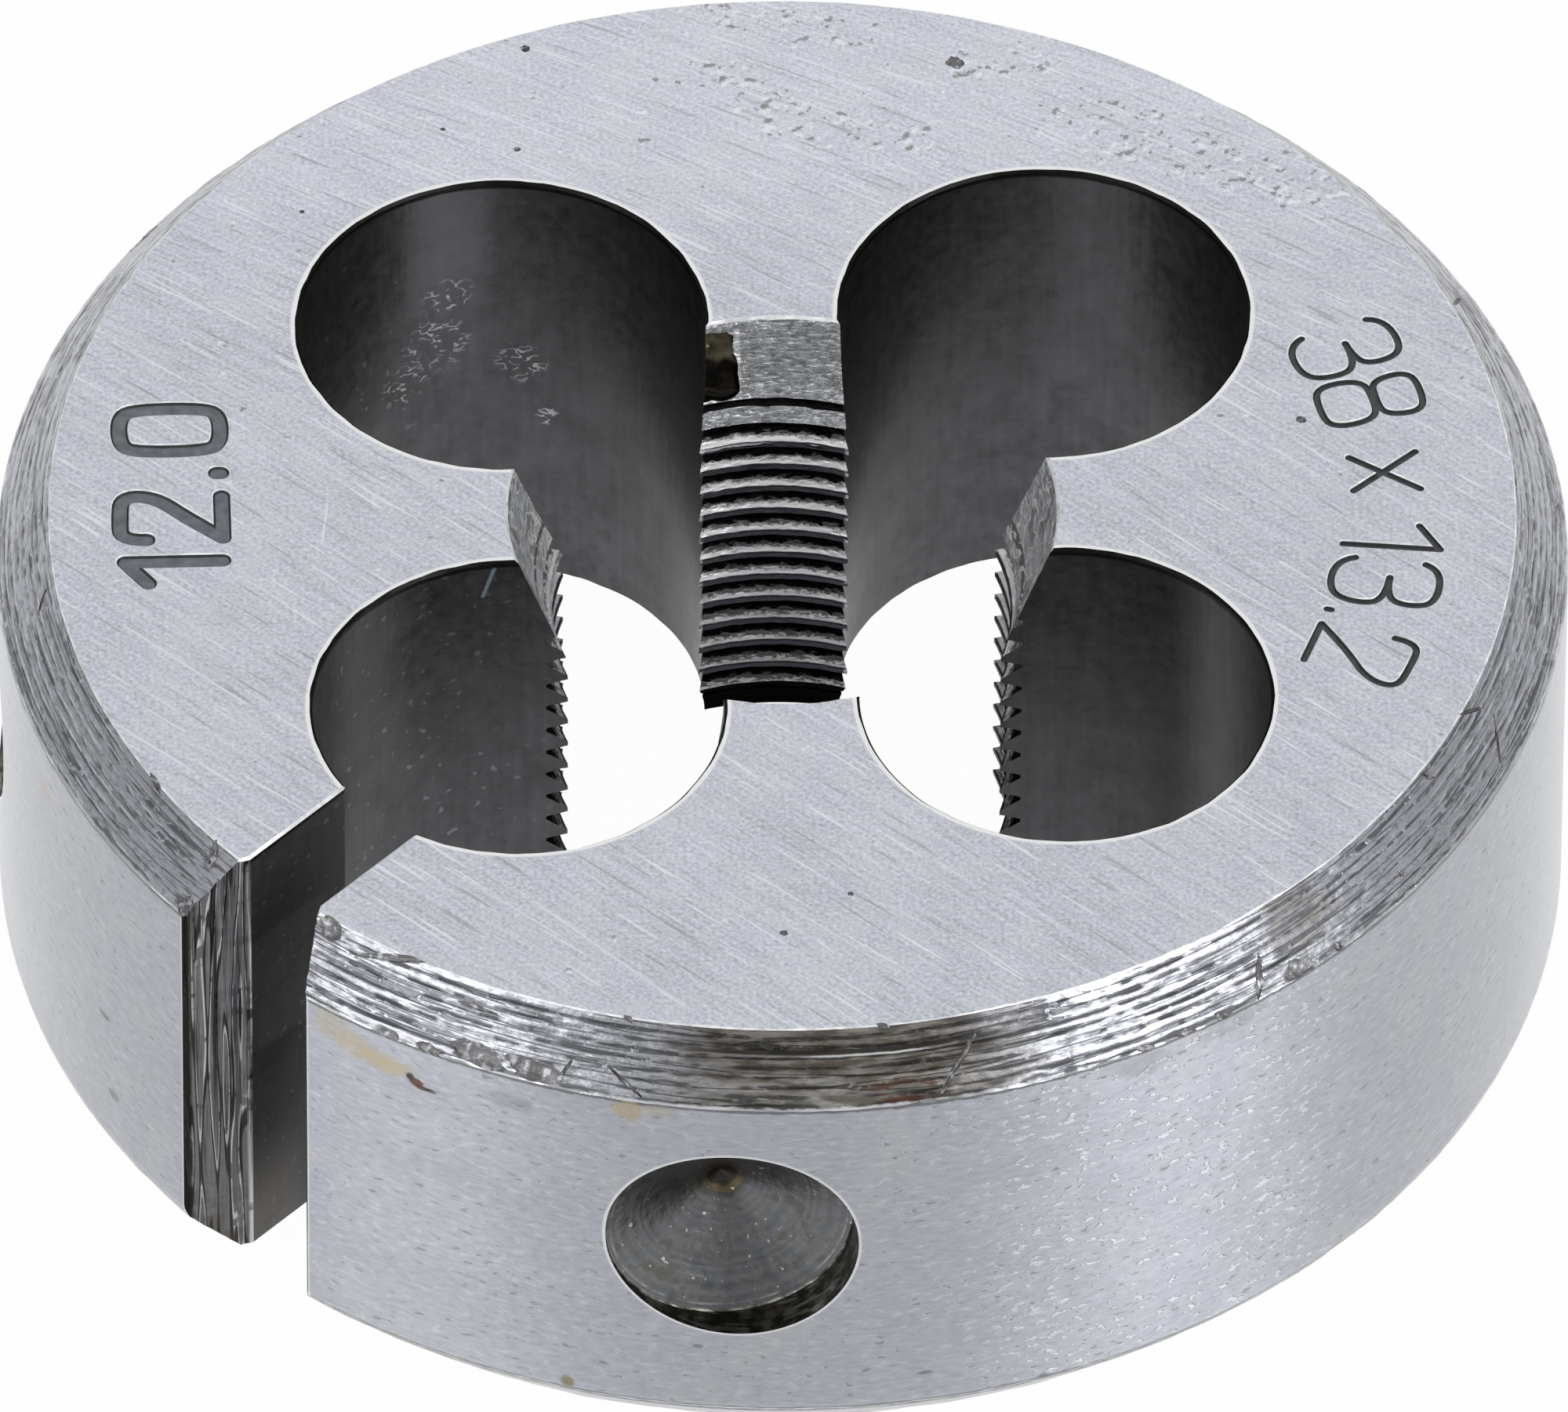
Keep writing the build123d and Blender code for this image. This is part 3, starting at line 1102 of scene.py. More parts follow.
    def finish(self, roughness, height=None, depth=0.01):
        """Plugs the steel's colour, a roughness and a relief, in millimetres, into the shader."""
        self.fill(self.shader, {"Base Color": self.steel, "Roughness": roughness})
        if height is not None:
            sockets = {"Height": height, "Distance": depth * MM, "Strength": 1.0}
            self.fill(self.shader, {"Normal": self.node("Bump", {}, sockets)["Normal"]})
        return self.material


def ground_finish(colours, sizes):
    """Flat faces from a surface grinder, with fine lines that bend a little at the back.

    The face is painted lighter towards the back, with a painted highlight round each chip hole and
    painted shade and highlight on the pits.
    """
    paint = Paint("ground_steel", {})
    cosine, sine = math.cos(math.radians(43)), math.sin(math.radians(43))
    behind = paint.maths("MAXIMUM", paint.y - 2.0, 0.0)
    along = paint.x * cosine - paint.y * sine
    across = paint.x * sine + paint.y * cosine + behind * behind * 0.019
    fine = paint.grain((along / 1.7, across / 0.085, paint.z), 3.0)
    broad = paint.grain((along / 6.0, across / 0.24, paint.z + 7.0), 2.0)
    hair = paint.grain((along / 2.2, across / 0.11, paint.z + 19.0), 0.0)
    sparse = paint.grain((along / 2.4, across / 0.9, paint.z + 29.0), 1.0)
    hairlines = paint.step(hair, 0.68, 0.75) * paint.step(sparse, 0.40, 0.50)
    scores = paint.step(hair, 0.31, 0.24) * paint.step(sparse, 0.54, 0.44)
    grit = paint.grain(paint.point * 10.0, 1.0)
    specks = paint.step(paint.grain(paint.point * 5.0 + (7.0, 0, 0), 1.0), 0.72, 0.80)
    mottle = paint.grain(paint.point * 2.0, 2.0)
    clouds = paint.grain(paint.point * 0.35, 1.0)
    level = 1.0 + 0.52 * (fine - 0.5) + 0.20 * (broad - 0.5) + 0.80 * (grit - 0.5)
    level = level + 0.12 * (mottle - 0.5) + 0.16 * (clouds - 0.5)
    # Painted light: the face is made lighter towards the back, as it is lit from behind
    painted_light_at_back = paint.step(paint.y, 6.0, 14.0)
    paint.steel = paint.shade(level + 0.10 * painted_light_at_back, colours.ground)
    warm = paint.step(mottle + 0.5 * (clouds - 0.5), 0.46, 0.68) * 0.16
    paint.lay(warm, (0.70, 0.69, 0.685))
    for *ends, strength in FACE_SCRATCHES:
        away = paint.face_line(ends, sizes)
        hairlines = hairlines + paint.step(away + 0.03 * (grit - 0.5), 0.040, 0.018) * strength
    hairlines = paint.maths("MINIMUM", (hairlines + specks * 0.6) * 0.72, 1.0)
    paint.lay(hairlines, (0.90, 0.925, 0.985))
    paint.lay(scores * 0.45, (0.32, 0.32, 0.34))
    # Painted shade and highlight: each pit gets a dark shaded side and a bright lit side
    pits, pit_highlights = pit_mask(paint, sizes)
    paint.lay(pit_highlights * 0.8, (0.95, 0.96, 1.0))
    paint.lay(pits * 0.72, (0.24, 0.23, 0.215))
    # Painted highlight: a white ring on the face round each chip hole's edge
    past = paint.past_hole(sizes) + 0.10 * (grit - 0.5)
    hole_edge_highlight = paint.step(past, 0.20, 0.14)
    paint.lay(hole_edge_highlight * 0.9, (1.0, 1.0, 1.0))
    roughness = 0.38 + 0.12 * fine
    return paint.finish(roughness, fine * 0.5 + broad * 0.3 + grit * 0.5, 0.005)


# Lines along which pits lie at the back of the top face: x and y of start and end, and reach
PIT_LINES = [
    (-0.9, 15.1, 0.5, 13.8, 1.1),
    (0.5, 13.4, 3.8, 12.8, 1.0),
    (7.7, 13.1, 13.4, 10.9, 1.6),
    (4.9, 15.2, 7.2, 15.8, 0.9),
    (-0.8, 17.2, 2.5, 16.5, 0.8),
]


def pit_noise(paint, shift):
    """Noise with its grain turned askew to the axes, moved a little by shift."""
    x, y = paint.x - shift * 0.25, paint.y + shift
    return paint.grain((x * 2.2 + y * 2.0, y * 2.2 - x * 2.0, 5.0), 3.0)


def pit_mask(paint, sizes):
    """Short pits that the grinder didn't clear, in painted light: their dark shaded sides and their bright
    lit ones.
    """
    zone = 0.0
    for *ends, reach in PIT_LINES:
        away = paint.face_line(ends, sizes)
        zone = paint.maths("MAXIMUM", zone, paint.step(away, reach, 0.4 * reach))
    clumps = paint.grain(paint.point * 1.9 + (3.0, 0, 0), 2.0)
    scattered = paint.step(clumps, 0.66, 0.74) * paint.step(paint.y, 11.0, 14.0)
    present = paint.step(0.75 * zone + scattered + 3.6 * (clumps - 0.5), 0.64, 0.88)
    # The pits' relief is painted: noise minus a shifted copy gives a shaded side and a lit side
    rise = pit_noise(paint, 0.0) - pit_noise(paint, 0.13)
    dark = paint.step(rise, 0.065, 0.13)
    light = paint.step(rise, -0.065, -0.13)
    return dark * present, light * present


# Stains, rust and dirt on the rim: degrees from the front, height and reach in millimetres,
# flattening, colour, and strength
RIM_SPOTS = [
    (-36.4, 11.2, 0.80, 1.4, "stain", 0.45),
    (-34.4, 10.9, 0.80, 1.8, "stain", 0.55),
    (-31.8, 10.75, 0.95, 2.4, "stain", 0.75),
    (-29.5, 10.52, 0.34, 1.8, "rust", 1.2),
    (-28.7, 10.40, 0.34, 3.6, (0.05, 0.02, 0.012), 1.1),
    (-29.9, 10.62, 0.16, 1.0, (0.03, 0.02, 0.015), 1.2),
    (-13.2, 11.35, 0.44, 1.0, "stain", 0.9),
    (-11.0, 11.5, 0.60, 2.6, "stain", 0.4),
    (-17.6, 1.75, 0.26, 1.0, (0.24, 0.20, 0.06), 0.9),
    (17.5, 1.55, 0.24, 1.2, (0.06, 0.07, 0.09), 0.8),
    (25.0, 11.3, 1.2, 2.2, "grime", 0.26),
    (32.0, 11.4, 1.4, 3.0, "grime", 0.24),
    (-22.0, 10.9, 0.9, 3.0, "grime", 0.25),
    (-70.6, 10.4, 0.5, 1.5, "stain", 0.55),
    (-61.0, 5.6, 0.34, 3.0, (0.10, 0.10, 0.11), 0.8),
    (-60.0, 3.2, 0.30, 1.6, (0.14, 0.14, 0.15), 0.8),
    (8.5, 2.5, 0.24, 2.5, (0.10, 0.11, 0.14), 0.7),
    (-8.0, 3.6, 0.16, 2.0, (0.13, 0.13, 0.14), 0.8),
]


def rim_finish(colours, sizes):
    """The rim, ground round its girth: short dashes, stains and rust.

    Painted highlights lie in an upright band, round the dimples and beside the slot, and a painted
    shadow runs under the chamfer's edge.
    """
    brushed = {"Anisotropic": 0.92, "Anisotropic Rotation": 0.25}
    paint = Paint("rim_steel", {**brushed, "Coat Weight": 1.0, "Coat Roughness": 0.22})
    around = paint.around(19.0)
    dashes = paint.grain((around / 0.36, paint.z / 0.13, 3.0), 4.0)
    broad = paint.grain((around / 3.0, paint.z / 1.2, 9.0), 2.0)
    marks = paint.grain((around / 0.42, paint.z / 0.17, 31.0), 2.0)
    cloud = paint.grain(paint.point * 0.7, 2.0)
    # Painted highlight: the bright dashes are strongest in an upright band at 28 degrees, where the right
    # softbox reflects
    towards = direction(math.radians(28), 0)
    ahead = (paint.x * towards.x + paint.y * towards.y) / paint.radius
    reflection_band = paint.step(ahead, 0.962, 0.992)
    bright = paint.step(marks, 0.57, 0.67) * (0.40 + 0.70 * reflection_band)
    dark = paint.step(marks, 0.38, 0.29) * paint.step(cloud, 0.36, 0.52)
    level = 1.0 + 0.55 * (dashes - 0.5) + 0.25 * (broad - 0.5) + 0.20 * (cloud - 0.5)
    paint.steel = paint.shade(level, colours.rim)
    paint.lay(paint.step(cloud, 0.50, 0.70) * 0.22, (0.50, 0.49, 0.47))
    paint.lay(bright * 0.42, (0.9, 0.92, 0.95))
    paint.lay(dark * 0.55, (0.17, 0.17, 0.18))
    middle = sizes.thickness / MM / 2
    to_edge = paint.maths("ABSOLUTE", paint.z - middle) - middle + sizes.chamfer_height / MM
    # Painted shadow: a dark line on the rim just under the chamfer's edge, also pressed in as a slight dent
    lip_shadow = paint.step(to_edge + 0.14 * (dashes - 0.5), -0.12, -0.05)
    paint.lay(lip_shadow * 0.8, (0.10, 0.10, 0.11))
    # Painted highlight: a bright line on the rim along the edges of the slot's mouth
    aside = paint.off_slot()
    half_mouth = sizes.slot_mouth_width / MM / 2
    slot_edge_highlight = paint.step(aside + 0.06 * (dashes - 0.5), half_mouth + 0.13, half_mouth + 0.07)
    slot_edge_highlight = slot_edge_highlight * paint.step(paint.x * slot_axis[0] + paint.y * slot_axis[1], 0.0, 1.0)
    paint.lay(slot_edge_highlight * 0.7, colours.edge)
    mottle = paint.grain(paint.point * 2.4, 3.0)
    # Painted highlight: a bright ring on the rim round the edge of each dimple
    for name in DIMPLES:
        paint.lay(paint.step(paint.off_dimple(name), 3.09, 3.04) * 0.8, colours.edge)
    for bearing, height, reach, flat, tone, strength in RIM_SPOTS:
        flat_way = direction(math.radians(bearing), 0) * sizes.outside_radius
        patch = paint.spot((flat_way.x, flat_way.y, height * MM), reach, mottle, 0.7, flat)
        patch = patch * (0.35 + 1.1 * mottle) * strength
        tone = getattr(colours, tone) if isinstance(tone, str) else tone
        paint.lay(paint.maths("MINIMUM", patch, 1.0), tone)
    roughness = 0.42 + 0.14 * broad
    return paint.finish(roughness, dashes + bright * (1.0 + reflection_band) - dark - 2 * lip_shadow, 0.013)


def chamfer_finish(colours, sizes):
    """Turned chamfer with thin dark tool lines, and oil baked brown in front.

    Painted shade darkens the grooves between the ridges, and painted highlights lie along one ridge
    and on the lip at the rim.
    """
    paint = Paint("turned_steel", {"Coat Weight": 0.5, "Coat Roughness": 0.25})
    width = sizes.chamfer_width / MM
    height = sizes.chamfer_height / MM
    slope = math.hypot(width, height)
    middle = sizes.thickness / MM / 2
    level = paint.maths("ABSOLUTE", paint.z - middle) - middle
    inner = paint.radius - (sizes.outside_radius / MM - width)
    out = inner * (height / slope) + level * (width / slope)
    down = inner * (width / slope) - level * (height / slope)
    around = paint.around(19.0)
    streak = paint.grain((around / 0.6, down / 0.08, 2.0), 3.0)
    lines = paint.grain((around / 7.0, down / 0.24, 6.0), 1.0)
    ripple = paint.grain((around / 0.7, down / 0.15, 16.0), 2.0)
    crumple = paint.grain((around / 0.18, down / 0.12, 18.0), 1.0)
    blobs = paint.grain((around / 0.34, down / 0.20, 8.0), 2.0)
    patches = paint.grain((around / 1.6, down / 0.7, 4.0), 3.0)
    soil = paint.grain((around / 1.0, down / 0.26, 21.0), 3.0)
    groove = paint.step(out, -0.005, -0.014)
    thin = paint.apart(lines - 0.5, 0.035, 0.010)
    thin = thin * paint.step(blobs, 0.34, 0.46)
    short = paint.apart(ripple - 0.5, 0.030, 0.008)
    paint.steel = paint.shade(0.66 + 0.42 * streak + 0.26 * crumple, colours.turned)
    oil = paint.spot(on_chamfer(2.6, 0.9, sizes)[0], 5.6, patches, 0.3)
    upper = paint.step(down + 0.3 * (blobs - 0.5), 1.30, 1.02)
    soiled = oil * (0.62 + 0.12 * upper + 0.30 * paint.step(soil, 0.60, 0.38))
    olive = paint.spot(on_chamfer(40.5, 0.6, sizes)[0], 1.3, patches, 0.5)
    dull = paint.apart(paint.x, 12.0, 13.8)
    paint.lay(dull * 0.55, paint.shade(0.70 + 0.60 * streak, (0.49, 0.50, 0.545)))
    behind = paint.step(paint.y, 2.0, 8.0) * paint.step(patches, 0.56, 0.68) * 0.5
    dirt = paint.maths("MINIMUM", soiled + olive * (0.25 + 0.6 * soil) + behind, 0.94)
    light_soil = paint.mix(upper, (0.27, 0.25, 0.205), (0.165, 0.140, 0.100))
    dark_soil = paint.mix(upper, (0.105, 0.088, 0.062), (0.060, 0.047, 0.032))
    brown = paint.mix(paint.step(soil, 0.36, 0.68), dark_soil, light_soil)
    brown = paint.shade(0.72 + 0.56 * streak, brown)
    paint.lay(dirt, brown)
    # Painted shade: the grooves between the turned ridges are darkened, near-black brown where the oil lies
    paint.lay(groove * 0.75, paint.mix(oil, (0.085, 0.088, 0.10), (0.014, 0.012, 0.009)))
    paint.lay(thin * 0.8, paint.mix(oil, (0.085, 0.09, 0.105), (0.01, 0.009, 0.007)))
    paint.lay(short * 0.45, (0.12, 0.125, 0.14))
    bend = 0.10 * (lines - 0.5) + 0.05 * (blobs - 0.5)
    long_line = paint.apart(down + bend - 0.57, 0.075, 0.035)
    paint.lay(long_line * oil * 0.85, (0.008, 0.007, 0.006))
    # Painted highlight: a bright line along one turned ridge at the front
    highlight_line = paint.apart(down + bend - 0.68, 0.045, 0.020)
    highlight_line = highlight_line * paint.spot(on_chamfer(4.5, 0.68, sizes)[0], 2.0, blobs, 0.3)
    paint.lay(highlight_line * 0.85, (0.70, 0.71, 0.72))
    rusty = paint.spot(on_chamfer(6.8, 1.84, sizes)[0], 1.2, blobs, 0.8, 2.0) * paint.step(soil, 0.44, 0.54)
    paint.lay(rusty * 0.85, paint.shade(0.6, colours.rust))
    # Painted highlight: a white, wavy lip where the chamfer meets the rim
    lip = paint.step(down + 0.16 * (blobs - 0.5), slope - 0.10, slope - 0.03)
    paint.lay(lip * 0.7, (0.8, 0.82, 0.85))
    roughness = 0.22 + 0.20 * patches + 0.25 * dirt
    relief = streak * 0.6 + crumple * 0.55 + blobs * 0.8 + ripple * 0.4 - thin * 0.9
    return paint.finish(roughness, relief, 0.014)


# Spots where the scale is rubbed through in curls, partly painted glints of reflected light: place and reach
RUBBED_SCALE_AND_GLINTS = [
    ((-7.75, 11.4, 9.5), 0.8),
    ((-8.05, 11.3, 8.0), 1.1),
    ((-8.8, 11.0, 6.9), 0.8),
    ((-5.95, 11.5, 7.1), 0.8),
    ((-5.3, 11.4, 5.4), 0.4),
]


def dark_finish(name, base, streak_length, lustre):
    """Hardening scale on a drilled or sawn wall, with faint upright streaks.

    Painted light and shade: a reflection band with glinting curls in the upper left hole, a shade
    line under the top edge, and darker walls in the lower right hole.
    """
    paint = Paint(name, {})
    mottle = paint.grain(paint.point * 3.0, 4.0)
    upright = paint.grain((paint.x / 0.20, paint.y / 0.20, paint.z / streak_length), 2.0)
    fleck = paint.grain(paint.point * 4.5, 0.0)
    flecks = paint.step(fleck, 0.74, 0.82) * paint.step(paint.x + paint.y * 0.2, -5.0, -8.0)
    clouds = paint.grain(paint.point * 0.9, 3.0)
    # Painted shade: the walls of the lower right hole are darkened, less on a strip near x 10 to 11 mm
    lower_right_shade = paint.step(paint.x, 1.0, 4.0) * paint.step(paint.y, -1.0, -3.0)
    lighter_strip = paint.step(paint.x, 9.2, 10.3) * paint.step(paint.x, 11.6, 11.1)
    level = 0.9 * mottle + 0.4 * upright + 0.7 * clouds
    paint.steel = paint.shade(level * (1.0 - lower_right_shade * (0.62 - 0.50 * lighter_strip)), base)
    # Painted reflection: a lighter upright band down the far wall of the upper left hole
    reflection_band = paint.step(paint.x, -9.1, -8.5) * paint.step(paint.x, -6.3, -7.1)
    reflection_band = reflection_band * paint.step(paint.y, 9.0, 10.5) * paint.step(paint.z + 1.5 * clouds, 6.0, 13.0)
    paint.lay(reflection_band * (0.10 + 0.9 * mottle), paint.shade(1.8, base))
    # Partly painted glints: white curls in the painted reflection band, partly rubbed scale
    rubbed = 0.0
    for place, reach in RUBBED_SCALE_AND_GLINTS:
        away = paint.vector("DISTANCE", paint.point, place, out="Value")
        rubbed = paint.maths("MAXIMUM", rubbed, paint.step(away, reach, 0.4 * reach))
    curls = paint.grain((paint.x / 0.34, paint.y / 0.34, paint.z / 0.22), 1.0)
    curls = paint.apart(curls - 0.5, 0.050, 0.020) * paint.step(mottle, 0.44, 0.54)
    paint.lay(curls * rubbed * 0.75, (0.50, 0.51, 0.52))
    paint.lay(flecks * 0.4, (0.30, 0.31, 0.32))
    nick = paint.line((-7.0 * MM, -1.66 * MM, 13.0 * MM), (-7.28 * MM, -1.70 * MM, 12.1 * MM))
    paint.lay(paint.step(nick, 0.07, 0.03) * 0.8, (0.42, 0.58, 0.66))
    low = paint.step(paint.z, 4.5, 0.8) * paint.step(paint.radius, 15.0, 16.5)
    paint.lay(low * (0.2 + 0.6 * mottle), (0.25, 0.235, 0.215))
    # Painted shade: a black line along the top of the walls, under the broken edge
    shade_under_edge = paint.step(paint.z + 0.10 * (mottle - 0.5), 12.97, 13.05)
    paint.lay(shade_under_edge * 0.9, (0.005, 0.005, 0.005))
    roughness = lustre - 0.12 + 0.24 * mottle
    return paint.finish(roughness, upright * 0.7 + mottle, 0.006)


def thread_finish(colours, sizes):
    """Tapped steel: smooth on the flanks and torn where they end.

    Painted shade makes the roots black, the flanks darker deeper in, each crest's flat a dark line,
    and the thread darker low in the bore and on the side lands; the lands' ends take painted
    highlights.
    """
    paint = Paint("tapped_steel", {})
    crest = sizes.crest_radius / MM
    around = paint.around(6.0)
    torn = paint.grain((around / 0.26, paint.z / 0.12, paint.radius / 0.12), 3.0)
    smooth = paint.grain((around / 1.2, paint.z / 0.2, 3.0), 2.0)
    edge = paint.radius + 0.36 * (torn - 0.5)
    # Painted shade: darker low in the bore, darker and torn deeper down each flank, and black in the roots
    low = paint.step(paint.z, 9.5, 1.0)
    torn_and_shaded = paint.step(edge + 0.07 * low, crest + 0.135, crest + 0.185)
    root_shade = paint.step(edge, crest + 0.21, crest + 0.26)
    flecks = torn_and_shaded * paint.step(torn, 0.52, 0.60)
    # Painted shade: the side lands are darker
    beside = paint.apart(paint.x, 3.0, 4.5)
    level = (0.80 + 0.9 * smooth) * (1.0 - 0.42 * low) * (1.0 - 0.4 * beside)
    paint.steel = paint.shade(level, colours.thread)
    paint.lay(torn_and_shaded * 0.85, (0.075, 0.065, 0.055))
    paint.lay(flecks * 0.8, (0.80, 0.79, 0.77))
    torn_top = beside * paint.step(paint.z, 9.0, 10.0)
    paint.lay(root_shade * (1.0 - 0.75 * torn_top), (0.010, 0.010, 0.011))
    # Painted shade: a dark line along each crest's flat
    crest_shade_line = paint.step(paint.radius + 0.03 * (torn - 0.5), crest + 0.060, crest + 0.030)
    paint.lay(crest_shade_line, (0.034, 0.036, 0.043))
    # Painted highlight: bright spots where the lands end at the chip holes
    ends = paint.step(paint.past_hole(sizes), 0.10, 0.03) * paint.step(torn, 0.44, 0.56)
    paint.lay(ends * (1.0 - root_shade) * 0.45, (0.80, 0.82, 0.85))
    return paint.finish(0.24 + 0.25 * torn, torn, 0.03)


def lead_finish(name, base, sizes, metallic):
    """Countersunk cone, rubbed and scratched round its girth, with a painted highlight along the edge at its
    notch.
    """
    paint = Paint(name, {"Specular IOR Level": 0.1 * metallic})
    around = paint.around(6.0)
    chatter = paint.grain((around / 0.34, paint.z / 0.10, paint.radius / 0.10), 3.0)
    marks = paint.grain(paint.point * 4.5, 3.0)
    patches = paint.grain(paint.point * 1.4, 2.0)
    ripple = paint.grain((around / 0.7, paint.z / 0.16, paint.radius / 0.16), 1.0)
    lines = paint.apart(ripple - 0.5, 0.030, 0.008)
    low = paint.step(paint.z, sizes.thickness / MM - 1.2, sizes.thickness / MM - 1.9)
    beside = paint.apart(paint.x, 3.0, 4.5)
    level = 0.10 + 0.55 * chatter + 0.95 * marks + (0.3 + 1.6 * beside) * (patches - 0.5) + 0.25 * low
    paint.steel = paint.shade(level, base)
    paint.lay(paint.step(chatter, 0.58, 0.70) * 0.5, paint.shade(1.9, base))
    paint.lay(lines * 0.4, paint.shade(0.22, base))
    veins = paint.apart(patches - 0.5, 0.030, 0.010)
    paint.lay(veins * beside * 0.7, paint.shade(2.1, base))
    # Painted highlight: a bright line along the edge of the land's notch
    top, low_end = (-0.88 * MM, 6.49 * MM, 12.9 * MM), (-0.84 * MM, 5.95 * MM, 11.3 * MM)
    notch_edge_highlight = paint.step(paint.line(top, low_end) + 0.14 * (marks - 0.5), 0.10, 0.04)
    paint.lay(notch_edge_highlight * 0.7, paint.shade(2.0, base))
    paint.fill(paint.shader, {"Metallic": (1.0 - 0.35 * beside) * metallic})
    return paint.finish(0.30 + 0.25 * marks, chatter + 1.4 * marks + ripple, 0.045)


def mouth_finish(colours, sizes):
    """Flanks of the slot's mouth, scored from top to bottom and brown lower down.

    A painted highlight runs where they meet the slot's wall, and a painted shade line along their
    outer edge.
    """
    paint = Paint("scored_mouth_steel", {})
    score = paint.grain((paint.x / 0.07, paint.y / 0.07, paint.z / 1.5), 3.0)
    cuts = paint.grain((paint.x / 0.17, paint.y / 0.17, paint.z / 4.5 + 5.0), 0.0)
    marks = paint.grain(paint.point * 2.2, 2.0)
    bright = paint.apart(cuts - 0.55, 0.034, 0.018) * paint.step(marks, 0.38, 0.46)
    dark = paint.apart(cuts - 0.47, 0.050, 0.030)
    paint.steel = paint.shade(0.04 + 0.30 * score + 0.26 * marks, colours.lead)
    paint.lay(bright * 0.8, (0.60, 0.61, 0.62))
    paint.lay(dark * 0.85, (0.016, 0.015, 0.013))
    low = paint.step(paint.z, 5.5, 0.5) * paint.step(marks, 0.40, 0.58)
    paint.lay(low * 0.5, colours.grime)
    half_width, half_mouth = sizes.slot_width / MM / 2, sizes.slot_mouth_width / MM / 2
    aside = paint.off_slot()
    # Painted highlight: a bright line where the flanks meet the slot's wall
    inner = paint.step(aside, half_width + 0.07, half_width + 0.02) * paint.step(marks, 0.30, 0.50)
    paint.lay(inner * 0.8, (0.62, 0.63, 0.65))
    # Painted shade: a black line along the flanks' outer edge
    mouth_edge_shade = paint.step(aside + 0.06 * (marks - 0.5), half_mouth - 0.12, half_mouth - 0.05)
    paint.lay(mouth_edge_shade * 0.95, (0.010, 0.009, 0.008))
    return paint.finish(0.32 + 0.15 * marks, score + cuts, 0.02)


def dimple_finish(colours):
    """Drilled dimples: dull grey, ringed by the drill, with brown dirt and bright specks."""
    paint = Paint("drilled_dimple_steel", {})
    away = paint.maths("MINIMUM", *(paint.off_dimple(name) for name in DIMPLES))
    rings = paint.grain((away / 0.16, 3.0, 5.0), 2.0)
    around = paint.around(19.0)
    mottle = paint.grain(paint.point * 2.6, 4.0)
    specks = paint.grain(paint.point * 6.0, 1.0)
    tip = paint.step(away + 0.5 * (mottle - 0.5), 0.75, 0.35)
    ring = paint.apart(away + 0.3 * (mottle - 0.5) - 0.42, 0.12, 0.05)
    paint.steel = paint.shade(0.01 + 0.23 * rings + 0.34 * mottle, colours.lead)
    paint.lay(paint.step(mottle, 0.52, 0.66) * 0.55, (0.085, 0.075, 0.055))
    paint.lay(tip * 0.9, (0.035, 0.030, 0.022))
    paint.lay(ring * 0.5, (0.20, 0.16, 0.09))
    paint.lay(paint.step(specks, 0.70, 0.78) * 0.7, (0.7, 0.7, 0.7))
    wall = paint.step(away, 2.80, 2.92) * paint.step(rings + 0.4 * (mottle - 0.5), 0.50, 0.62)
    paint.lay(wall * 0.6, (0.75, 0.77, 0.80))
    on_wall = paint.step(away, 2.955, 2.985)
    arcs = paint.grain((around / 1.3, paint.z / 0.5, paint.radius / 0.12), 2.0)
    dirt = paint.mix(paint.step(mottle, 0.42, 0.60), (0.060, 0.052, 0.038), (0.24, 0.215, 0.165))
    paint.lay(on_wall * 0.7, dirt)
    paint.lay(on_wall * paint.step(arcs, 0.54, 0.64) * 0.7, (0.62, 0.61, 0.57))
    relief = rings * 0.6 + mottle + specks * 0.5
    return paint.finish(0.20 + 0.26 * mottle, relief, 0.014)


def edge_highlight_finish(colours):
    """Edges rubbed bright by handling, and painted near white as highlights of the broken edges."""
    paint = Paint("edge_highlight_steel", {"Metallic": 0.25})
    rubbed = paint.grain(paint.point * 3.0, 3.0)
    # Painted highlight: the near-white, mostly matt colour stands in for light caught by the broken edges
    paint.steel = paint.shade(0.30 + 1.25 * rubbed, colours.edge)
    return paint.finish(0.35 + 0.1 * rubbed)


def torn_finish(name, dull, bright, share):
    """Steel broken or scratched open: dull, with bright facets over the given share."""
    paint = Paint(name, {})
    facets = paint.grain(paint.point * 4.5, 2.0)
    mottle = paint.grain(paint.point * 2.0, 2.0)
    opened = paint.step(facets + 0.4 * (mottle - 0.5), 0.58 - share, 0.78 - share)
    paint.steel = paint.mix(opened, dull, bright)
    return paint.finish(0.30 + 0.3 * mottle, facets, 0.04)


def notch_finish():
    """Broken steel in the land's notch, olive brown above and dark below."""
    paint = Paint("broken_land_steel", {})
    mottle = paint.grain(paint.point * 3.0, 3.0)
    low = paint.step(paint.z + 0.3 * (mottle - 0.5), 12.06, 11.90)
    olive = paint.shade(0.2 + 1.6 * mottle, (0.135, 0.118, 0.082))
    paint.steel = paint.mix(low, olive, paint.shade(0.2 + 1.6 * mottle, (0.018, 0.016, 0.014)))
    return paint.finish(0.35 + 0.3 * mottle, mottle, 0.02)


def etched_finish(name, base, lustre):
    """Mark etched or cut into the ground face, darker and matt."""
    paint = Paint(name, {"Metallic": 0.6})
    mottle = paint.grain(paint.point * 3.5, 4.0)
    paint.steel = paint.shade(0.4 + 1.2 * mottle, base)
    return paint.finish(lustre, mottle, 0.008)


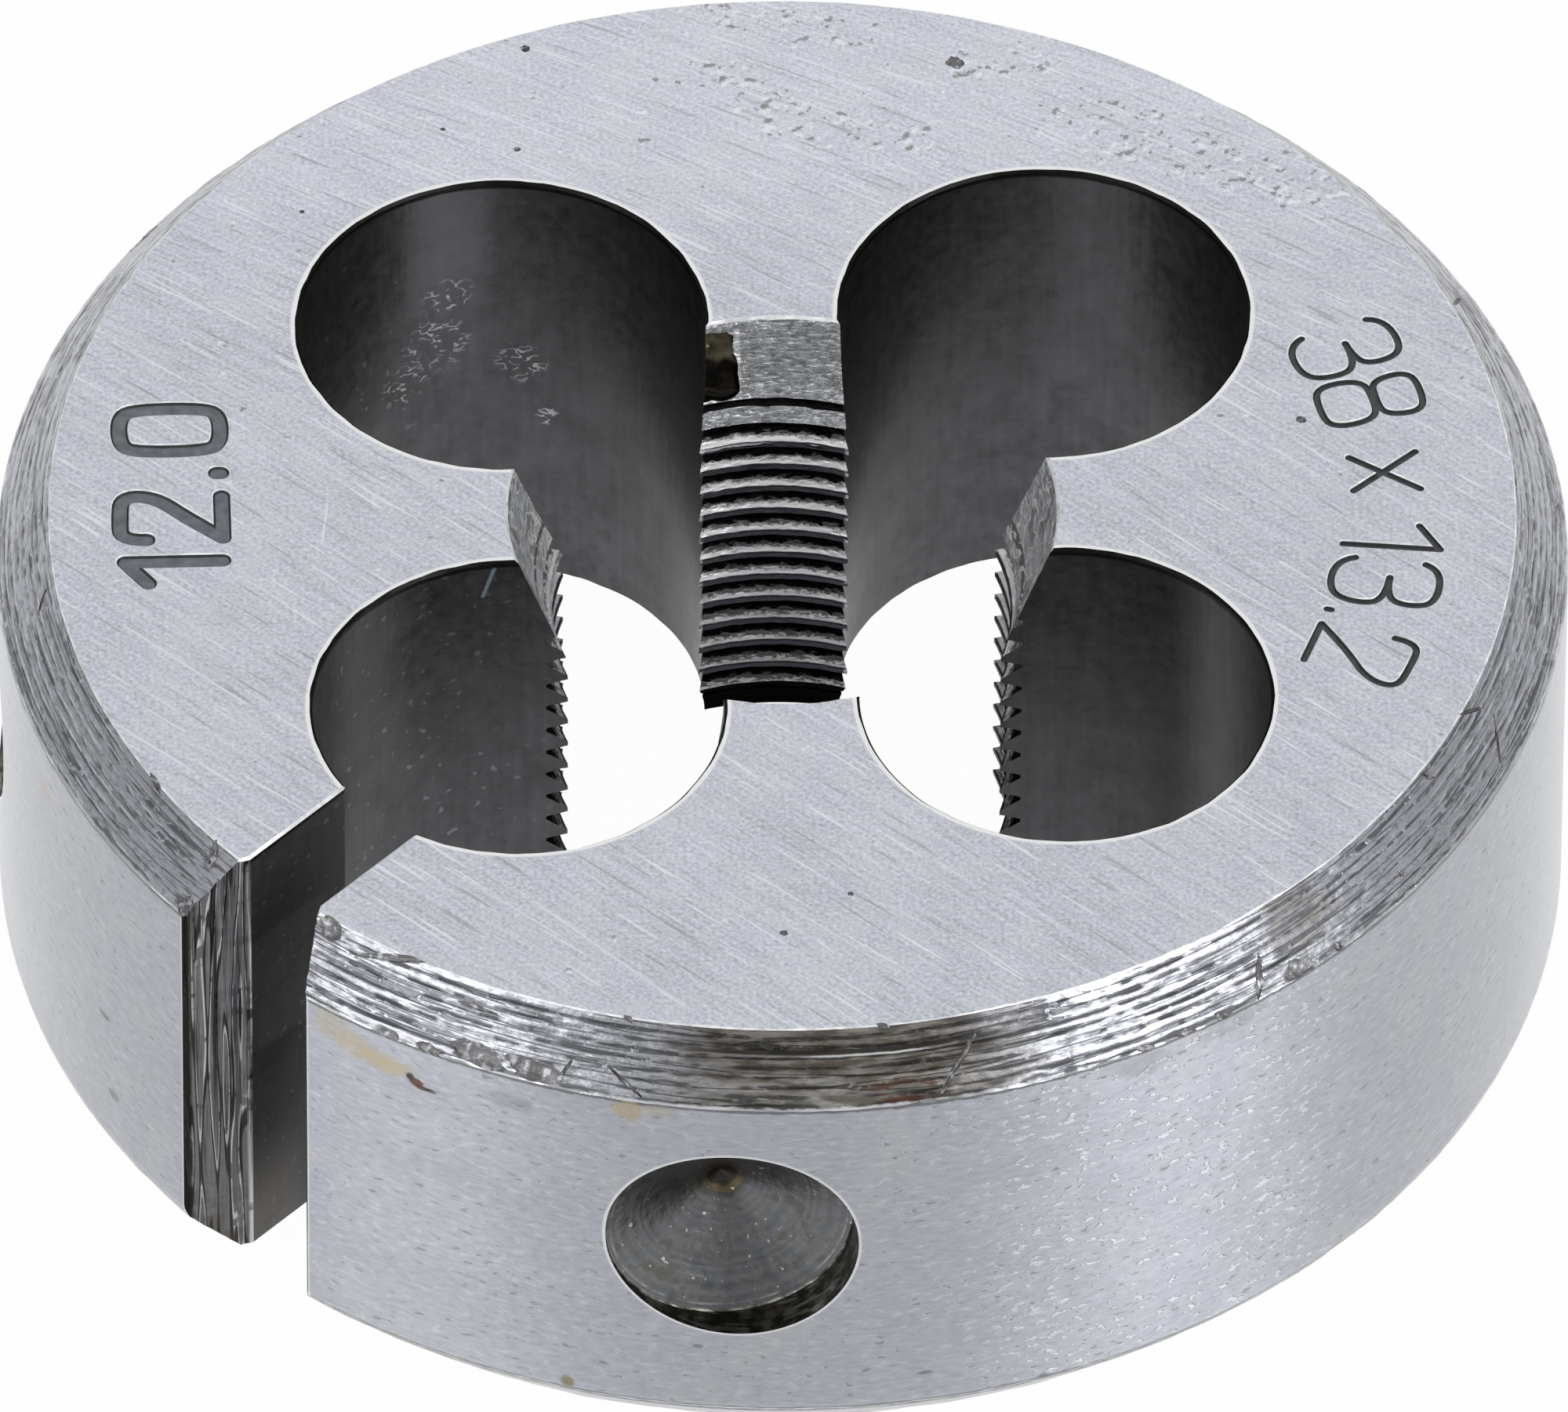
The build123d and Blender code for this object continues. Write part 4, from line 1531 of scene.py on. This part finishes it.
def make_finishes(colours, sizes):
    """All finishes by the cut that leaves them."""
    return {
        "rim": rim_finish(colours, sizes),
        "ground": ground_finish(colours, sizes),
        "chamfer": chamfer_finish(colours, sizes),
        "chip_hole": dark_finish("scaled_hole_steel", colours.scale, 2.5, 0.38),
        "slot": dark_finish("scaled_slot_steel", colours.scale, 1.8, 0.62),
        "mouth": mouth_finish(colours, sizes),
        "thread": thread_finish(colours, sizes),
        "lead": lead_finish("countersunk_steel", colours.lead, sizes, 1.0),
        # Painted shade: the short bottom cone is near black and not metallic, as it lies in shade over the
        # floor
        "low_lead": lead_finish("shaded_countersunk_steel", (0.014, 0.013, 0.011), sizes, 0.0),
        "dimple": dimple_finish(colours),
        "edge": edge_highlight_finish(colours),
        "torn": torn_finish("torn_steel", (0.20, 0.20, 0.205), (0.56, 0.57, 0.60), 0.06),
        "notch": notch_finish(),
        "etch": etched_finish("etched_steel", colours.etch, 0.55),
        "etch_edge": etched_finish("etched_edge_steel", (0.035, 0.037, 0.042), 0.5),
        "figure": etched_finish("cut_figure_steel", (0.075, 0.078, 0.085), 0.5),
    }


def add_softbox(name, azimuth, elevation, distance, size, power, target):
    """A square area lamp that faces the target, azimuth counted as the camera's is."""
    lamp = bpy.data.lights.new(name, "AREA")
    lamp.shape = "SQUARE"
    lamp.size = size
    lamp.energy = power
    holder = add_to_scene(name, lamp)
    back = direction(math.radians(azimuth), math.radians(elevation))
    holder.location = Vector(target) + back * distance
    point_along(holder, back)


class DIE_OT_add_die(bpy.types.Operator):
    """Cut the threading die and give each surface its finish"""

    bl_idname = "threading_die.add_die"
    bl_label = "Add Threading Die"

    def execute(self, context):
        scene = context.scene
        finish = make_finishes(scene.die_finish, scene.die_sizes)
        die = build_die(scene.die_sizes, scene.die_wear, finish)
        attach(die, "root")
        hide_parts(NODE)
        return {"FINISHED"}


class DIE_OT_add_stage(bpy.types.Operator):
    """Set up the camera, the lamps and the pale floor"""

    bl_idname = "threading_die.add_stage"
    bl_label = "Add Stage"

    def execute(self, context):
        stage = context.scene.die_stage
        add_camera(stage)
        add_lamps(stage)
        add_floor(stage)
        return {"FINISHED"}


def add_camera(stage):
    """The camera at the photograph's angle, through a very long lens."""
    back = direction(stage.azimuth, stage.elevation)
    right = Vector((0, 0, 1)).cross(back).normalized()
    up = back.cross(right)
    tipped_right = right * math.cos(stage.roll) + up * math.sin(stage.roll)
    tipped_up = back.cross(tipped_right)
    camera = bpy.data.cameras.new("camera")
    camera.lens = stage.focal_length
    camera.sensor_width = 36
    camera.clip_start = 10 * MM
    camera.clip_end = 20
    holder = add_to_scene("camera", camera)
    axes = Matrix((tipped_right, tipped_up, back)).transposed()
    place = Matrix.Translation(Vector(stage.target) + back * stage.distance)
    holder.matrix_world = place @ axes.to_4x4()
    bpy.context.scene.camera = holder


# Softboxes: azimuth and elevation in degrees, distance and side in metres, power in watts
SOFTBOXES = {
    "left_softbox": (-52, 32, 0.55, 0.28, 0.72),
    "right_softbox": (51, 32, 0.55, 0.26, 1.2),
    "back_softbox": (180, 48, 0.8, 0.9, 0.9),
}


def add_lamps(stage):
    """Two softboxes in front and one behind, and an even grey room."""
    for name, settings in SOFTBOXES.items():
        add_softbox(name, *settings, stage.target)
    scene = bpy.context.scene
    scene.view_settings.view_transform = "Standard"
    scene.world = bpy.data.worlds.new("studio")
    room = Tree(scene.world)
    grey = room.fill(room.nodes["Background"], {"Color": (1, 1, 1), "Strength": 0.5})["Background"]
    white = room.node("Background", {}, {"Strength": 1.0})["Background"]
    seen = room.node("LightPath", {}, {})["Is Camera Ray"]
    both = room.node("MixShader", {}, {0: seen, 1: grey, 2: white})["Shader"]
    room.fill(room.nodes["World Output"], {"Surface": both})


def add_floor(stage):
    """A wide pale floor, nearly white to the camera and in reflections."""
    bpy.ops.mesh.primitive_plane_add(size=4.0)
    floor = bpy.context.object
    floor.name = "floor"
    material = bpy.data.materials.new("pale_floor")
    pale = Tree(material)
    matt = {"Base Color": stage.backdrop, "Roughness": 0.9, "Specular IOR Level": 0.0}
    plain = pale.fill(pale.nodes["Principled BSDF"], matt)["BSDF"]
    white = pale.node("Emission", {}, {"Strength": 1.0})["Emission"]
    softened = pale.node("MixShader", {}, {0: 0.975, 1: plain, 2: white})["Shader"]
    rays = pale.node("LightPath", {}, {})
    mirrored = pale.maths("MAXIMUM", rays["Is Glossy Ray"], rays["Is Transmission Ray"])
    seen = pale.maths("MAXIMUM", rays["Is Camera Ray"], mirrored)
    both = pale.node("MixShader", {}, {0: seen, 1: plain, 2: softened})["Shader"]
    pale.fill(pale.nodes["Material Output"], {"Surface": both})
    finish_with(floor, material)


class DIE_PT_panel(bpy.types.Panel):
    """Lists the steps that build the die"""

    bl_idname = "DIE_PT_panel"
    bl_label = "Threading Die"
    bl_space_type = "VIEW_3D"
    bl_region_type = "UI"
    bl_category = "Threading Die"

    def draw(self, context):
        layout = self.layout
        for operator in OPERATORS:
            layout.operator(operator.bl_idname)


GROUPS = {
    "die_sizes": DieSizes,
    "die_wear": DieWear,
    "die_finish": DieFinish,
    "die_stage": DieStage,
}
OPERATORS = (DIE_OT_add_die, DIE_OT_add_stage)


def register():
    for name, group in GROUPS.items():
        bpy.utils.register_class(group)
        setattr(bpy.types.Scene, name, PointerProperty(type=group))
    for operator in OPERATORS:
        bpy.utils.register_class(operator)
    bpy.utils.register_class(DIE_PT_panel)


def unregister():
    bpy.utils.unregister_class(DIE_PT_panel)
    for operator in reversed(OPERATORS):
        bpy.utils.unregister_class(operator)
    for name, group in reversed(GROUPS.items()):
        delattr(bpy.types.Scene, name)
        bpy.utils.unregister_class(group)


def main():
    register()
    bpy.ops.threading_die.add_die()
    bpy.ops.threading_die.add_stage()


if __name__ == "__main__":
    main()
